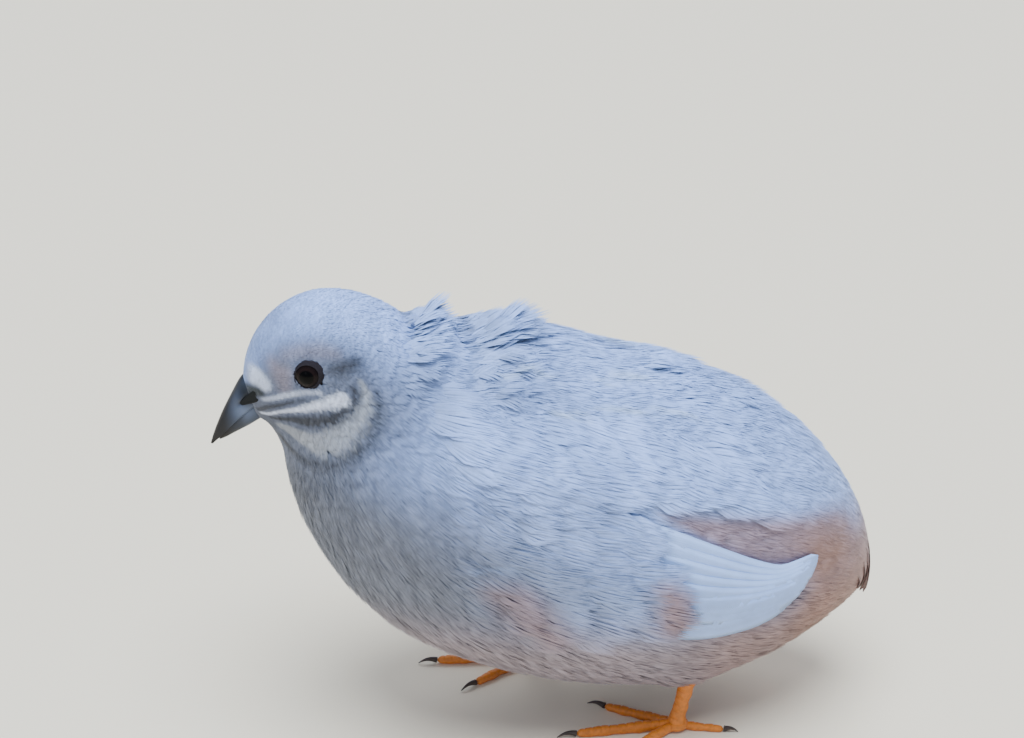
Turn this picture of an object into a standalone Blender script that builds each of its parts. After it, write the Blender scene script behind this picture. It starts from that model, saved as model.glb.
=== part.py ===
"""A silver button quail (Chinese painted quail) at life size, crouched with one foot ahead of the other.

The bird faces -X, its left side is -Y, up is +Z and the floor is Z = 0. It is modelled in millimetres, and
the finished bird is centred over the origin and turned to metres.
"""

import math
import random
from collections import namedtuple

import bmesh
import bpy
from mathutils import Matrix, Vector
from mathutils.bvhtree import BVHTree

MM = 0.001
GAP = 0.3
SIDES = {"left": -1, "right": 1}

# The whole feathered body, from the face to the vent: the point on the back line (x, z), the point on the
# belly line (x, z) and the half width of the section between them.
BODY = (
    ((-45.4, 60.3), (-43.0, 53.6), 2.7),
    ((-44.7, 64.0), (-42.0, 53.2), 4.8),
    ((-42.8, 67.9), (-41.4, 52.5), 6.6),
    ((-39.3, 71.4), (-40.9, 51.5), 7.8),
    ((-34.4, 73.5), (-40.4, 50.2), 8.6),
    ((-29.0, 73.2), (-39.9, 48.6), 9.4),
    ((-24.4, 71.2), (-39.6, 46.6), 10.6),
    ((-20.2, 68.8), (-39.3, 44.0), 12.8),
    ((-14.6, 67.4), (-38.5, 40.2), 16.0),
    ((-7.2, 66.2), (-36.4, 34.4), 19.0),
    ((2.0, 64.4), (-31.3, 25.4), 21.2),
    ((12.0, 61.4), (-22.5, 16.4), 22.5),
    ((22.2, 58.0), (-8.0, 9.4), 22.8),
    ((31.6, 53.2), (8.0, 5.6), 21.6),
    ((39.4, 47.4), (22.0, 5.2), 18.8),
    ((45.2, 40.6), (33.5, 8.4), 14.8),
    ((49.2, 33.4), (42.0, 13.0), 10.2),
    ((51.2, 26.6), (47.6, 16.4), 5.4),
    ((51.8, 21.4), (50.4, 18.8), 1.6),
)
HEAD_END, NECK_END, TORSO_END = 6.0, 8.0, 15.0
BODY_RINGS, BODY_SEGMENTS = 42, 32

# The folded wing's core as seen from the side: its upper and lower edges (x, z) from the wrist back, how far
# its outer face stands off the body at the wrist, at the rear and at the rim, and how it rises from the rim.
WING_UPPER = ((-17.5, 50.5), (-14.0, 56.0), (-6.0, 58.2), (4.0, 57.0), (12.0, 53.8), (18.0, 48.5))
WING_LOWER = ((-17.5, 49.5), (-15.6, 42.0), (-9.5, 35.6), (0.0, 30.6), (9.0, 27.4), (17.0, 27.0))
WING_FRONT, WING_REAR, WING_EDGE = 2.4, 0.9, 0.6
WING_RIM_RISE, WING_WRIST_RISE = 3, (0.3, 4.0)
WING_ALONG, WING_ACROSS = 10, 7

# A tier of wing vanes: how many, then for its lowest and its highest vane the root, a bend point and the tip
# (x, z) seen from the side, then width, heights off the body, and how far the lower edge stands up.
Tier = namedtuple("Tier", "count low high width root_height tip_height lift")
PRIMARIES = Tier(
    count=6,
    low=((5.0, 29.0), (18.0, 22.6), (30.0, 23.6)),
    high=((4.0, 43.4), (21.0, 37.0), (41.2, 30.2)),
    width=3.5,
    root_height=0.5,
    tip_height=0.45,
    lift=1.15,
)
TERTIALS = Tier(
    count=5,
    low=((-8.0, 49.6), (14.0, 49.4), (34.0, 34.4)),
    high=((-8.0, 56.0), (18.0, 58.0), (38.0, 42.6)),
    width=3.8,
    root_height=0.9,
    tip_height=0.6,
    lift=1.25,
)
COVERTS = Tier(
    count=6,
    low=((-8.0, 36.2), (1.0, 30.6), (9.0, 28.8)),
    high=((-8.0, 50.6), (4.0, 50.6), (14.0, 47.4)),
    width=3.7,
    root_height=1.2,
    tip_height=2.0,
    lift=0.95,
)
LESSER_COVERTS = Tier(
    count=6,
    low=((-14.2, 41.2), (-9.0, 35.8), (-3.0, 32.8)),
    high=((-13.6, 54.2), (-6.0, 54.8), (2.0, 53.2)),
    width=3.7,
    root_height=1.4,
    tip_height=3.0,
    lift=0.8,
)
WING_TIERS = (PRIMARIES, TERTIALS, COVERTS, LESSER_COVERTS)
# The middle primaries reach past a straight line between the lowest and the highest tip, in a round wing tip.
PRIMARY_TIP_BULGE = (2.6, -1.3)
VANE_THICKNESS = 0.5
VANE_STEPS = (0.0, 0.25, 0.5, 0.72, 0.89, 1.0)
VANE_ROOT_WIDTH, VANE_WIDEST, VANE_TIP_WIDTH, VANE_LIFTED = 0.55, 0.6, 0.32, 0.4

# The tail's core lies this deep under the outline. Tail feathers come in pairs from the middle outwards:
# degrees round the core to the first pair and to each next one, the places and heights of root and bend, where
# the first tip is (x, y, z) and how each next one steps from it.
TAIL_CORE_DEPTH = 0.8
TAIL_PAIRS, TAIL_FIRST_ANGLE, TAIL_ANGLE = 4, 9.0, 21.0
TAIL_ROOT, TAIL_BEND = (15.4, -1.6), (17.0, 0.1)
TAIL_TIP, TAIL_TIP_STEP = (51.9, 1.2, 17.6), (-0.9, 1.5, 1.3)
TAIL_WIDTH, TAIL_LIFT = 3.6, -0.5
# Rows of coverts over the tail feathers: places of root and tip, and degrees from the back line.
TAIL_COVERS = (((15.9, 17.2), (-60, -36, -12, 12, 36, 60)), ((15.2, 16.3), (-66, -44, -22, 0, 22, 44, 66)))
TAIL_COVER_HEIGHTS, TAIL_COVER_WIDTH = (-1.5, 0.1, 0.75), 4.4

# Rows of lifted feathers on the mantle: places of root and tip along the body, height of the tip, how many,
# and degrees from the back line to the outermost.
RUFFLE_ROWS = (
    (8.25, 9.15, 2.2, 5, 36),
    (9.1, 10.2, 2.4, 6, 36),
    (10.4, 11.5, 1.4, 4, 24),
    (11.8, 12.9, 1.8, 3, 15),
)
RUFFLE_ROOT, RUFFLE_MIDDLE, RUFFLE_WIDTH = -1.2, 0.3, 5.0
RUFFLE_STRAY_PLACE, RUFFLE_STRAY_ANGLE, RUFFLE_STRAY_HEIGHT, RUFFLE_SEED = 0.16, 3.0, 0.2, 4

EYE_SIDE_VIEW = (-36.1, 64.1)
EYE_LOOK = (-0.28, 1.0, 0.10)
EYE_RADIUS = 3.2
EYE_SINK = 2.55
LID_RADIUS, LID_ROLL, LID_OUT = 2.72, 0.42, 2.5

# The bill: culmen and cutting edge (x, z) of the upper half, cutting edge and keel of the lower, half widths.
BILL_UPPER = (
    ((-45.75, 60.25), (-44.35, 56.3), 2.3),
    ((-47.3, 57.5), (-46.0, 54.5), 1.95),
    ((-48.6, 54.9), (-47.4, 52.9), 1.5),
    ((-49.7, 52.3), (-48.8, 51.3), 1.0),
    ((-50.3, 50.6), (-49.75, 50.2), 0.5),
    ((-50.6, 49.6), (-50.35, 49.5), 0.2),
)
BILL_LOWER = (
    ((-44.2, 55.85), (-43.45, 53.7), 2.0),
    ((-45.8, 54.15), (-45.25, 52.8), 1.65),
    ((-47.1, 52.6), (-46.75, 51.6), 1.2),
    ((-48.5, 50.95), (-48.3, 50.5), 0.5),
)
BILL_RINGS, BILL_SEGMENTS, BILL_CUT_STATION = 2, 14, 3
NOSTRIL_AT, NOSTRIL_RADII, NOSTRIL_TILT = (-45.9, 57.9), (0.8, 0.9, 0.42), -50.0
GAPE = ((-45.4, 55.6), (-43.0, 56.8), (-40.8, 57.7))
GAPE_WIDTH = 0.45
GAPE_INNER, GAPE_OUTER = 3.2, 12.0

FEET = {"left": (19.6, -11.0), "right": (0.0, 11.5)}
THIGH_RADII = (5.0, 4.0, 3.6)
THIGH_DROP, THIGH_BACK = 1.1, 2.0
SHANK_SLANT = 0.32
SHANK_RADII = (1.55, 1.2, 1.15, 1.25, 1.45)
PAD_RADIUS, PAD_HEIGHT, PAD_CENTRE, PAD_FLATNESS = 2.2, 1.9, 0.8, 1.1
# Toe: heading from straight ahead towards the outside in degrees, length from the foot's middle, radius.
TOES = {
    "inner": (-33.0, 12.2, 0.95),
    "middle": (2.0, 15.8, 1.05),
    "outer": (36.0, 12.8, 0.95),
    "hind": (166.0, 7.4, 0.8),
}
SCUTE_LENGTH, SCUTE_DIP, SCUTE_START = 1.7, 0.86, 0.3
# A toe's height of centre and its taper, each as shares of its radius at the root and lost towards the tip.
TOE_HEIGHT, TOE_SINK, TOE_TAPER = 0.86, 0.3, 0.36
CLAW_LENGTH, HIND_CLAW_SHARE, CLAW_ROOT_HEIGHT = 3.0, 0.75, 0.6
CLAW_RADIUS, CLAW_TAPER, CLAW_ARCH, CLAW_CURVE, CLAW_CLEARANCE, CLAW_STEPS = 0.5, 0.85, 0.28, 1.5, 0.12, 6

FEATHER_BLUE = ("feather_silver_blue", (0.50, 0.56, 0.68), 0.75)
FEATHER_MAUVE = ("feather_mauve", (0.42, 0.35, 0.35), 0.75)
HORN = ("bill_horn", (0.07, 0.075, 0.10), 0.35)
LEG = ("leg_orange", (0.72, 0.30, 0.05), 0.5)
CLAW = ("claw_horn", (0.16, 0.10, 0.06), 0.4)
EYE = ("eye_dark", (0.03, 0.015, 0.012), 0.08)
SMOOTH_ANGLE = math.radians(40)


def clear_scene():
    for obj in list(bpy.data.objects):
        bpy.data.objects.remove(obj, do_unlink=True)
    for collection in list(bpy.data.collections):
        bpy.data.collections.remove(collection)


def material(spec):
    name, colour, roughness = spec
    found = bpy.data.materials.get(name)
    if found:
        return found
    made = bpy.data.materials.new(name)
    made.use_nodes = True
    shader = made.node_tree.nodes["Principled BSDF"]
    shader.inputs["Base Color"].default_value = (*colour, 1.0)
    shader.inputs["Roughness"].default_value = roughness
    shader.inputs["Metallic"].default_value = 0.0
    return made


def collection_named(name):
    found = bpy.data.collections.get(name)
    if found is None:
        found = bpy.data.collections.new(name)
        bpy.context.scene.collection.children.link(found)
    return found


def finish_mesh(mesh, surface):
    mesh.materials.clear()
    mesh.materials.append(surface)
    mesh.shade_smooth()
    mesh.set_sharp_from_angle(angle=SMOOTH_ANGLE)


def add_object(name, shape, spec):
    """A named object in the bird's collection, from a bmesh in millimetres."""
    bmesh.ops.recalc_face_normals(shape, faces=shape.faces)
    if shape.calc_volume(signed=True) < 0:
        bmesh.ops.reverse_faces(shape, faces=shape.faces)
    mesh = bpy.data.meshes.new(name)
    shape.to_mesh(mesh)
    shape.free()
    finish_mesh(mesh, material(spec))
    obj = bpy.data.objects.new(name, mesh)
    collection_named("button_quail").objects.link(obj)
    return obj


def between(values, place):
    """A smooth curve through equally spaced values, read at a place from 0 to their last index."""
    last = len(values) - 1
    index = min(int(place), last - 1)
    share = place - index
    before, start = values[max(index - 1, 0)], values[index]
    end, after = values[index + 1], values[min(index + 2, last)]
    bend = 2 * before - 5 * start + 4 * end - after
    twist = 3 * (start - end) + after - before
    return start + 0.5 * share * (end - before + share * (bend + share * twist))


def point_between(points, place):
    """The same curve through a row of (x, z) points."""
    return between([p[0] for p in points], place), between([p[1] for p in points], place)


def section_at(stations, place):
    """The upper point, lower point and half width of a paired loft at a place along it."""
    upper_x, upper_z = point_between([s[0] for s in stations], place)
    lower_x, lower_z = point_between([s[1] for s in stations], place)
    half_width = between([s[2] for s in stations], place)
    return Vector((upper_x, 0, upper_z)), Vector((lower_x, 0, lower_z)), half_width


def loft_point(stations, place, angle, swell=0.0):
    """A point on a paired loft: angle 0 is the lower line, pi the upper line, half pi the widest on +Y."""
    upper, lower, half_width = section_at(stations, place)
    reach = (upper - lower) / 2
    reach *= 1 + swell / reach.length
    side = Vector((0, (half_width + swell) * math.sin(angle), 0))
    return (upper + lower) / 2 - reach * math.cos(angle) + side


def bridge(shape, rings):
    """Joins a row of rings of new vertices into one closed surface with flat ends."""
    count = len(rings[0])
    for a, b in zip(rings, rings[1:]):
        for k in range(count):
            shape.faces.new((a[k], a[(k + 1) % count], b[(k + 1) % count], b[k]))
    shape.faces.new(rings[0])
    shape.faces.new(rings[-1])


def paired_loft(stations, ring_count, segments, swell=0.0):
    shape = bmesh.new()
    rings = []
    for i in range(ring_count + 1):
        place = (len(stations) - 1) * i / ring_count
        angles = [2 * math.pi * k / segments for k in range(segments)]
        rings.append([shape.verts.new(loft_point(stations, place, a, swell)) for a in angles])
    bridge(shape, rings)
    return shape


def whole_body(swell=0.0):
    return paired_loft(BODY, BODY_RINGS, BODY_SEGMENTS, swell)


def keep_side(shape, point, away):
    """Cuts a closed bmesh by a plane, drops what lies in the away direction and closes the cut."""
    everything = shape.verts[:] + shape.edges[:] + shape.faces[:]
    bmesh.ops.bisect_plane(shape, geom=everything, plane_co=point, plane_no=away, clear_outer=True)
    bmesh.ops.holes_fill(shape, edges=[e for e in shape.edges if e.is_boundary])


def body_length(first, last, swell=0.0):
    """The body between two places, each end half a gap clear of the cut. None keeps the body's own end."""
    shape = whole_body(swell)
    for place, sign in ((first, -1), (last, 1)):
        if place is not None:
            upper, lower, _ = section_at(BODY, place)
            across = (upper - lower).normalized()
            away = Vector((across.z, 0, -across.x)) * sign
            keep_side(shape, (upper + lower) / 2 - away * GAP / 2, away)
    return shape


def keep_largest(mesh):
    """Drops all but the closed surface with the most vertices."""
    shape = bmesh.new()
    shape.from_mesh(mesh)
    unseen, islands = set(shape.verts), []
    while unseen:
        front, island = [unseen.pop()], []
        while front:
            vert = front.pop()
            island.append(vert)
            beside = [edge.other_vert(vert) for edge in vert.link_edges]
            front += [other for other in beside if other in unseen]
            unseen.difference_update(beside)
        islands.append(island)
    for island in sorted(islands, key=len)[:-1]:
        bmesh.ops.delete(shape, geom=island, context="VERTS")
    shape.to_mesh(mesh)
    shape.free()


def combine(target, tools, operation, solver="EXACT"):
    """Joins closed meshes to an object, or cuts them from it, in one Boolean that is applied."""
    collection = collection_named("tools")
    for tool in tools:
        collection_named("button_quail").objects.unlink(tool)
        collection.objects.link(tool)
    modifier = target.modifiers.new("combine", "BOOLEAN")
    modifier.operation = operation
    modifier.operand_type = "COLLECTION"
    modifier.collection = collection
    modifier.solver = solver
    graph = bpy.context.evaluated_depsgraph_get()
    mesh = bpy.data.meshes.new_from_object(target.evaluated_get(graph))
    target.modifiers.clear()
    bare, target.data = target.data, mesh
    keep_largest(mesh)
    finish_mesh(mesh, bare.materials[0])
    bpy.data.meshes.remove(bare)
    for tool in tools:
        bpy.data.objects.remove(tool, do_unlink=True)
    bpy.data.collections.remove(collection)


def ball(centre, radii, segments=18, rings=12, turn=None):
    """A sphere primitive stretched to three radii."""
    shape = bmesh.new()
    bmesh.ops.create_uvsphere(shape, u_segments=segments, v_segments=rings, radius=1.0)
    bmesh.ops.scale(shape, vec=radii, verts=shape.verts)
    if turn:
        bmesh.ops.rotate(shape, matrix=turn, verts=shape.verts)
    bmesh.ops.translate(shape, vec=centre, verts=shape.verts)
    return shape


def tube(points, radii, resolution):
    """A closed bar along points, with its own radius at each, as a bevelled curve turned into a bmesh."""
    curve = bpy.data.curves.new("tube", "CURVE")
    curve.dimensions = "3D"
    curve.bevel_depth = 1.0
    curve.bevel_resolution = resolution
    curve.use_fill_caps = True
    spline = curve.splines.new("POLY")
    spline.points.add(len(points) - 1)
    for target, point, radius in zip(spline.points, points, radii):
        target.co = (*point, 1.0)
        target.radius = radius
    guide = bpy.data.objects.new("tube", curve)
    bpy.context.scene.collection.objects.link(guide)
    graph = bpy.context.evaluated_depsgraph_get()
    mesh = bpy.data.meshes.new_from_object(guide.evaluated_get(graph))
    shape = bmesh.new()
    shape.from_mesh(mesh)
    bmesh.ops.remove_doubles(shape, verts=shape.verts, dist=1e-4)
    bpy.data.objects.remove(guide, do_unlink=True)
    bpy.data.curves.remove(curve)
    bpy.data.meshes.remove(mesh)
    return shape


class Surface:
    """The body's surface, found by rays from the side or from below."""

    def __init__(self):
        shape = whole_body()
        shape.normal_update()
        self.tree = BVHTree.FromBMesh(shape)
        shape.free()

    def side(self, x, z, side):
        point, normal, _, _ = self.tree.ray_cast(Vector((x, side * 60, z)), Vector((0, -side, 0)))
        return point, normal

    def below(self, x, y):
        point, _, _, _ = self.tree.ray_cast(Vector((x, y, -10)), Vector((0, 0, 1)))
        return point


def eye_place(surface, side):
    """The eyeball's centre and the way it looks out."""
    point, _ = surface.side(*EYE_SIDE_VIEW, side)
    out = Vector((EYE_LOOK[0], side * EYE_LOOK[1], EYE_LOOK[2])).normalized()
    return point - out * EYE_SINK, out


def add_lid(name, centre, out):
    """A rolled ring of lid skin round the eye."""
    bpy.ops.mesh.primitive_torus_add(
        major_segments=20, minor_segments=6, major_radius=LID_RADIUS, minor_radius=LID_ROLL
    )
    ring = bpy.context.object
    shape = bmesh.new()
    shape.from_mesh(ring.data)
    bpy.data.objects.remove(ring, do_unlink=True)
    bmesh.ops.rotate(shape, matrix=out.to_track_quat("Z", "Y").to_matrix(), verts=shape.verts)
    bmesh.ops.translate(shape, vec=centre + out * LID_OUT, verts=shape.verts)
    return add_object(name, shape, FEATHER_BLUE)


def gape_cutter(side):
    """A thin cutter along the line of the mouth, reaching in from one side of the face."""
    shape = bmesh.new()
    corners = ((GAPE_OUTER, -1), (GAPE_OUTER, 1), (GAPE_INNER, 1), (GAPE_INNER, -1))
    rings = []
    for x, z in GAPE:
        rings.append([shape.verts.new((x, side * y, z + up * GAPE_WIDTH / 2)) for y, up in corners])
    bridge(shape, rings)
    return shape


def make_head(surface):
    head = add_object("head", body_length(None, HEAD_END), FEATHER_BLUE)
    cutters, lids = [], []
    for name, side in SIDES.items():
        centre, out = eye_place(surface, side)
        turn = out.to_track_quat("Z", "Y").to_matrix()
        add_object("eye_" + name, ball(centre, (EYE_RADIUS,) * 3, 16, 10, turn), EYE)
        cutters.append(add_object("socket_" + name, ball(centre, (EYE_RADIUS + GAP,) * 3), EYE))
        cutters.append(add_object("gape_" + name, gape_cutter(side), HORN))
        lids.append(add_lid("lid_" + name, centre, out))
    combine(head, cutters, "DIFFERENCE")
    combine(head, lids, "UNION")


def half_bill(outer_line, edges, widths, opening):
    """Half of a bill, widest at its flat cutting edge, which opens down (-1) or up (1)."""
    mirrored = []
    for outer, edge, width in zip(outer_line, edges, widths):
        across = (2 * edge[0] - outer[0], 2 * edge[1] - outer[1])
        mirrored.append((outer, across, width) if opening < 0 else (across, outer, width))
    shape = paired_loft(mirrored, BILL_RINGS * (len(widths) - 1), BILL_SEGMENTS)
    (x, z), (tip_x, tip_z) = edges[0], edges[BILL_CUT_STATION]
    away = Vector((tip_z - z, 0, x - tip_x)).normalized() * opening
    keep_side(shape, Vector((x, 0, z)), away)
    return shape


def make_bill():
    culmens, edges, widths = zip(*BILL_UPPER)
    upper = add_object("bill_upper", half_bill(culmens, edges, widths, -1), HORN)
    edges, keels, widths = zip(*BILL_LOWER)
    add_object("bill_lower", half_bill(keels, edges, widths, 1), HORN)
    x, z = NOSTRIL_AT
    turn = Matrix.Rotation(math.radians(NOSTRIL_TILT), 3, "Y")
    slits = []
    for name, side in SIDES.items():
        slit = ball((x, side * BILL_UPPER[0][2], z), NOSTRIL_RADII, 10, 6, turn)
        slits.append(add_object("nostril_" + name, slit, HORN))
    combine(upper, slits, "DIFFERENCE")


def bend(points, share):
    """A point on the curve that leaves the first of three points, leans to the second and ends at the last."""
    first, middle, last = (Vector(p) for p in points)
    return first * (1 - share) ** 2 + middle * 2 * share * (1 - share) + last * share**2


def mix(a, b, share):
    return a + (b - a) * share


def vane_spread(share):
    """A feather vane's width along its length, as a share of its widest."""
    if share < VANE_WIDEST:
        return mix(VANE_ROOT_WIDTH, 1.0, math.sin(math.pi / 2 * share / VANE_WIDEST))
    past = (share - VANE_WIDEST) / (1 - VANE_WIDEST)
    return math.sqrt(1 - (1 - VANE_TIP_WIDTH**2) * past**2)


def vane_shape(frames, width, lift):
    """A thin curved vane along (point, outward) frames, with its second edge lifted towards the tip."""
    shape = bmesh.new()
    rings = []
    for i, (point, out) in enumerate(frames):
        before, after = frames[max(i - 1, 0)][0], frames[min(i + 1, len(frames) - 1)][0]
        across = out.cross(after - before).normalized() * width / 2 * vane_spread(VANE_STEPS[i])
        raised = out * lift * min(1.0, VANE_STEPS[i] / VANE_LIFTED) * vane_spread(VANE_STEPS[i])
        edges = (point - across, point + across + raised)
        thick = out * VANE_THICKNESS
        corners = (edges[0], edges[1], edges[1] + thick, edges[0] + thick)
        rings.append([shape.verts.new(corner) for corner in corners])
    for a, b in zip(rings, rings[1:]):
        for first, second in ((0, 1), (3, 2)):
            shape.faces.new((a[first], a[second], b[second]))
            shape.faces.new((a[first], b[second], b[first]))
        shape.faces.new((a[1], a[2], b[2], b[1]))
        shape.faces.new((a[3], a[0], b[0], b[3]))
    shape.faces.new(rings[0])
    shape.faces.new(rings[-1])
    return shape


def wing_tier(tier, side, surface):
    """One tier of a folded wing's vanes, from the lowest up, each over the edge of the one below."""
    shapes = []
    for k in range(tier.count):
        rank = k / (tier.count - 1)
        points = [Vector(a).lerp(Vector(b), rank) for a, b in zip(tier.low, tier.high)]
        if tier is PRIMARIES:
            points[2] += Vector(PRIMARY_TIP_BULGE) * math.sin(math.pi * rank)
        frames = []
        for share in VANE_STEPS:
            x, z = bend(points, share)
            point, out = surface.side(x, z, side)
            frames.append((point + out * mix(tier.root_height, tier.tip_height, share), out))
        shapes.append(vane_shape(frames, side * tier.width, tier.lift))
    return shapes


def wing_core(side, surface):
    """The wing's solid part, a leaf on the body's side that every vane is rooted in."""
    along, across = WING_ALONG, WING_ACROSS
    shape = bmesh.new()
    inner, outer = [], []
    for i in range(along + 1):
        share = i / along
        upper = point_between(WING_UPPER, share * (len(WING_UPPER) - 1))
        lower = point_between(WING_LOWER, share * (len(WING_LOWER) - 1))
        inner.append([])
        outer.append([])
        for k in range(across + 1):
            t = k / across
            point, normal = surface.side(mix(lower[0], upper[0], t), mix(lower[1], upper[1], t), side)
            wrist = WING_WRIST_RISE[0] + WING_WRIST_RISE[1] * share
            dome = min(1.0, WING_RIM_RISE * t, WING_RIM_RISE * (1 - t), wrist)
            thick = mix(WING_EDGE, mix(WING_FRONT, WING_REAR, share) - GAP, dome)
            inner[-1].append(shape.verts.new(point + normal * GAP))
            outer[-1].append(shape.verts.new(point + normal * (GAP + thick)))
    for grid in (inner, outer):
        for i in range(along):
            for k in range(across):
                a, b, c, d = grid[i][k], grid[i + 1][k], grid[i + 1][k + 1], grid[i][k + 1]
                shape.faces.new((a, b, c))
                shape.faces.new((a, c, d))
    rim = [(i, 0) for i in range(along)] + [(along, k) for k in range(across)]
    rim += [(i, across) for i in range(along, 0, -1)] + [(0, k) for k in range(across, 0, -1)]
    for (i, k), (p, q) in zip(rim, rim[1:] + rim[:1]):
        shape.faces.new((inner[i][k], inner[p][q], outer[p][q], outer[i][k]))
    return shape


def add_vanes(node, shapes, spec):
    """Joins vanes to the node that they grow from."""
    tools = [add_object(f"vane_{i}", shape, spec) for i, shape in enumerate(shapes)]
    combine(node, tools, "UNION")


def make_wing(name, side, surface):
    wing = add_object("wing_" + name, wing_core(side, surface), FEATHER_BLUE)
    add_vanes(wing, [shape for tier in WING_TIERS for shape in wing_tier(tier, side, surface)], FEATHER_BLUE)


def body_frame(place, degrees, height):
    """A point off the body and the way out there, by place along it and degrees from the back line."""
    angle = math.pi + math.radians(degrees)
    point = loft_point(BODY, place, angle)
    along = loft_point(BODY, place + 0.05, angle) - loft_point(BODY, place - 0.05, angle)
    around = loft_point(BODY, place, angle + 0.05) - loft_point(BODY, place, angle - 0.05)
    out = around.cross(along).normalized()
    return point + out * height, out


def body_vane(places, degrees, heights, width):
    """A vane that lies along the body between two places, its height read from root to tip."""
    frames = []
    for share in VANE_STEPS:
        frames.append(body_frame(mix(*places, share), degrees, between(heights, share * (len(heights) - 1))))
    return vane_shape(frames, width, 0.0)


def make_torso():
    """The torso with rows of lifted feathers over the mantle."""
    torso = add_object("torso", body_length(NECK_END, TORSO_END), FEATHER_BLUE)
    draw = random.Random(RUFFLE_SEED)
    shapes = []
    for root, tip, height, count, spread in RUFFLE_ROWS:
        for k in range(count):
            stray = draw.uniform(-1, 1)
            degrees = mix(-spread, spread, k / (count - 1)) + RUFFLE_STRAY_ANGLE * stray
            places = (root + RUFFLE_STRAY_PLACE * stray, tip + RUFFLE_STRAY_PLACE * stray)
            heights = (RUFFLE_ROOT, RUFFLE_MIDDLE, height * (1 + RUFFLE_STRAY_HEIGHT * stray))
            shapes.append(body_vane(places, degrees, heights, RUFFLE_WIDTH))
    add_vanes(torso, shapes, FEATHER_BLUE)


def tail_feather(pair, side):
    """One tail feather, leaving the core near its front and ending free past the vent."""
    degrees = side * (TAIL_FIRST_ANGLE + TAIL_ANGLE * pair)
    root, out = body_frame(TAIL_ROOT[0], degrees, TAIL_ROOT[1])
    middle, _ = body_frame(TAIL_BEND[0], degrees, TAIL_BEND[1])
    tip = Vector(TAIL_TIP) + Vector(TAIL_TIP_STEP) * pair
    tip.y *= side
    frames = [(bend((root, middle, tip), share), out) for share in VANE_STEPS]
    return vane_shape(frames, side * TAIL_WIDTH, TAIL_LIFT)


def make_tail():
    """The tail's core, its pairs of tail feathers fanned round the end, and the coverts over their roots."""
    tail = add_object("tail", body_length(TORSO_END, None, -TAIL_CORE_DEPTH), FEATHER_MAUVE)
    shapes = [tail_feather(pair, side) for pair in range(TAIL_PAIRS) for side in SIDES.values()]
    for places, row in TAIL_COVERS:
        shapes += [body_vane(places, degrees, TAIL_COVER_HEIGHTS, TAIL_COVER_WIDTH) for degrees in row]
    add_vanes(tail, shapes, FEATHER_MAUVE)


def toe_shape(foot, ahead, length, radius):
    """A toe along the floor, tapering, with a dip between its scutes."""
    scutes = round(length / SCUTE_LENGTH)
    points, radii = [], []
    for i in range(scutes):
        for part, swell in ((0.0, SCUTE_DIP), (SCUTE_START, 1.0)):
            share = (i + part) / scutes
            height = radius * (TOE_HEIGHT - TOE_SINK * share)
            points.append(foot + ahead * length * share + Vector((0, 0, height)))
            radii.append(radius * (1 - TOE_TAPER * share) * swell)
    points.append(foot + ahead * length + Vector((0, 0, radius * (TOE_HEIGHT - TOE_SINK))))
    radii.append(radius * (1 - TOE_TAPER) * SCUTE_DIP)
    return tube(points, radii, 2)


def claw_shape(root, ahead, length):
    """A curved, tapering claw whose tip stays just above the floor."""
    points, radii = [], []
    for i in range(CLAW_STEPS + 1):
        share = i / CLAW_STEPS
        radius = CLAW_RADIUS * (1 - CLAW_TAPER * share)
        low = CLAW_CLEARANCE + radius
        arch = CLAW_ARCH * math.sin(math.pi * share)
        height = max(low, root.z + arch - (root.z - low) * share**CLAW_CURVE)
        points.append(Vector((root.x, root.y, 0)) + ahead * length * share + Vector((0, 0, height)))
        radii.append(radius)
    return tube(points, radii, 2)


def make_foot(name, side):
    """The pad and four toes in one piece, cut flat where they rest on the floor, and the four claws."""
    x, y = FEET[name]
    centre = Vector((x, y, 0))
    pad = ball(centre + Vector((0, 0, PAD_CENTRE)), (PAD_RADIUS, PAD_RADIUS, PAD_FLATNESS), 14, 8)
    foot = add_object("foot_" + name, pad, LEG)
    toes = []
    for toe, (heading, length, radius) in TOES.items():
        angle = math.radians(heading)
        ahead = Vector((-math.cos(angle), side * math.sin(angle), 0))
        toes.append(add_object("toe_" + toe, toe_shape(centre, ahead, length, radius), LEG))
        root = centre + ahead * (length + GAP) + Vector((0, 0, radius * CLAW_ROOT_HEIGHT))
        claw_length = CLAW_LENGTH * (HIND_CLAW_SHARE if toe == "hind" else 1.0)
        add_object(f"claw_{name}_{toe}", claw_shape(root, ahead, claw_length), CLAW)
    combine(foot, toes, "UNION")
    shape = bmesh.new()
    shape.from_mesh(foot.data)
    keep_side(shape, Vector((0, 0, 0)), Vector((0, 0, -1)))
    shape.to_mesh(foot.data)
    shape.free()


def make_leg(name, surface):
    """The feathered thigh that shows below the belly, and the bare shank down to the foot."""
    x, y = FEET[name]
    hip = surface.below(x + THIGH_BACK, y)
    low = hip.z - THIGH_DROP
    thigh = ball(hip, THIGH_RADII, 16, 12)
    keep_side(thigh, Vector((0, 0, low)), Vector((0, 0, -1)))
    thigh = add_object("thigh_" + name, thigh, FEATHER_MAUVE)
    combine(thigh, [add_object("clearance", whole_body(GAP), FEATHER_BLUE)], "DIFFERENCE")
    bottom = Vector((x, y, PAD_HEIGHT + GAP))
    rise = low - GAP - SHANK_RADII[-1] * SHANK_SLANT - bottom.z
    top = bottom + Vector((SHANK_SLANT * rise, 0, rise))
    steps = len(SHANK_RADII) - 1
    points = [bottom.lerp(top, i / steps) for i in range(steps + 1)]
    add_object("shank_" + name, tube(points, SHANK_RADII, 4), LEG)


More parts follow.
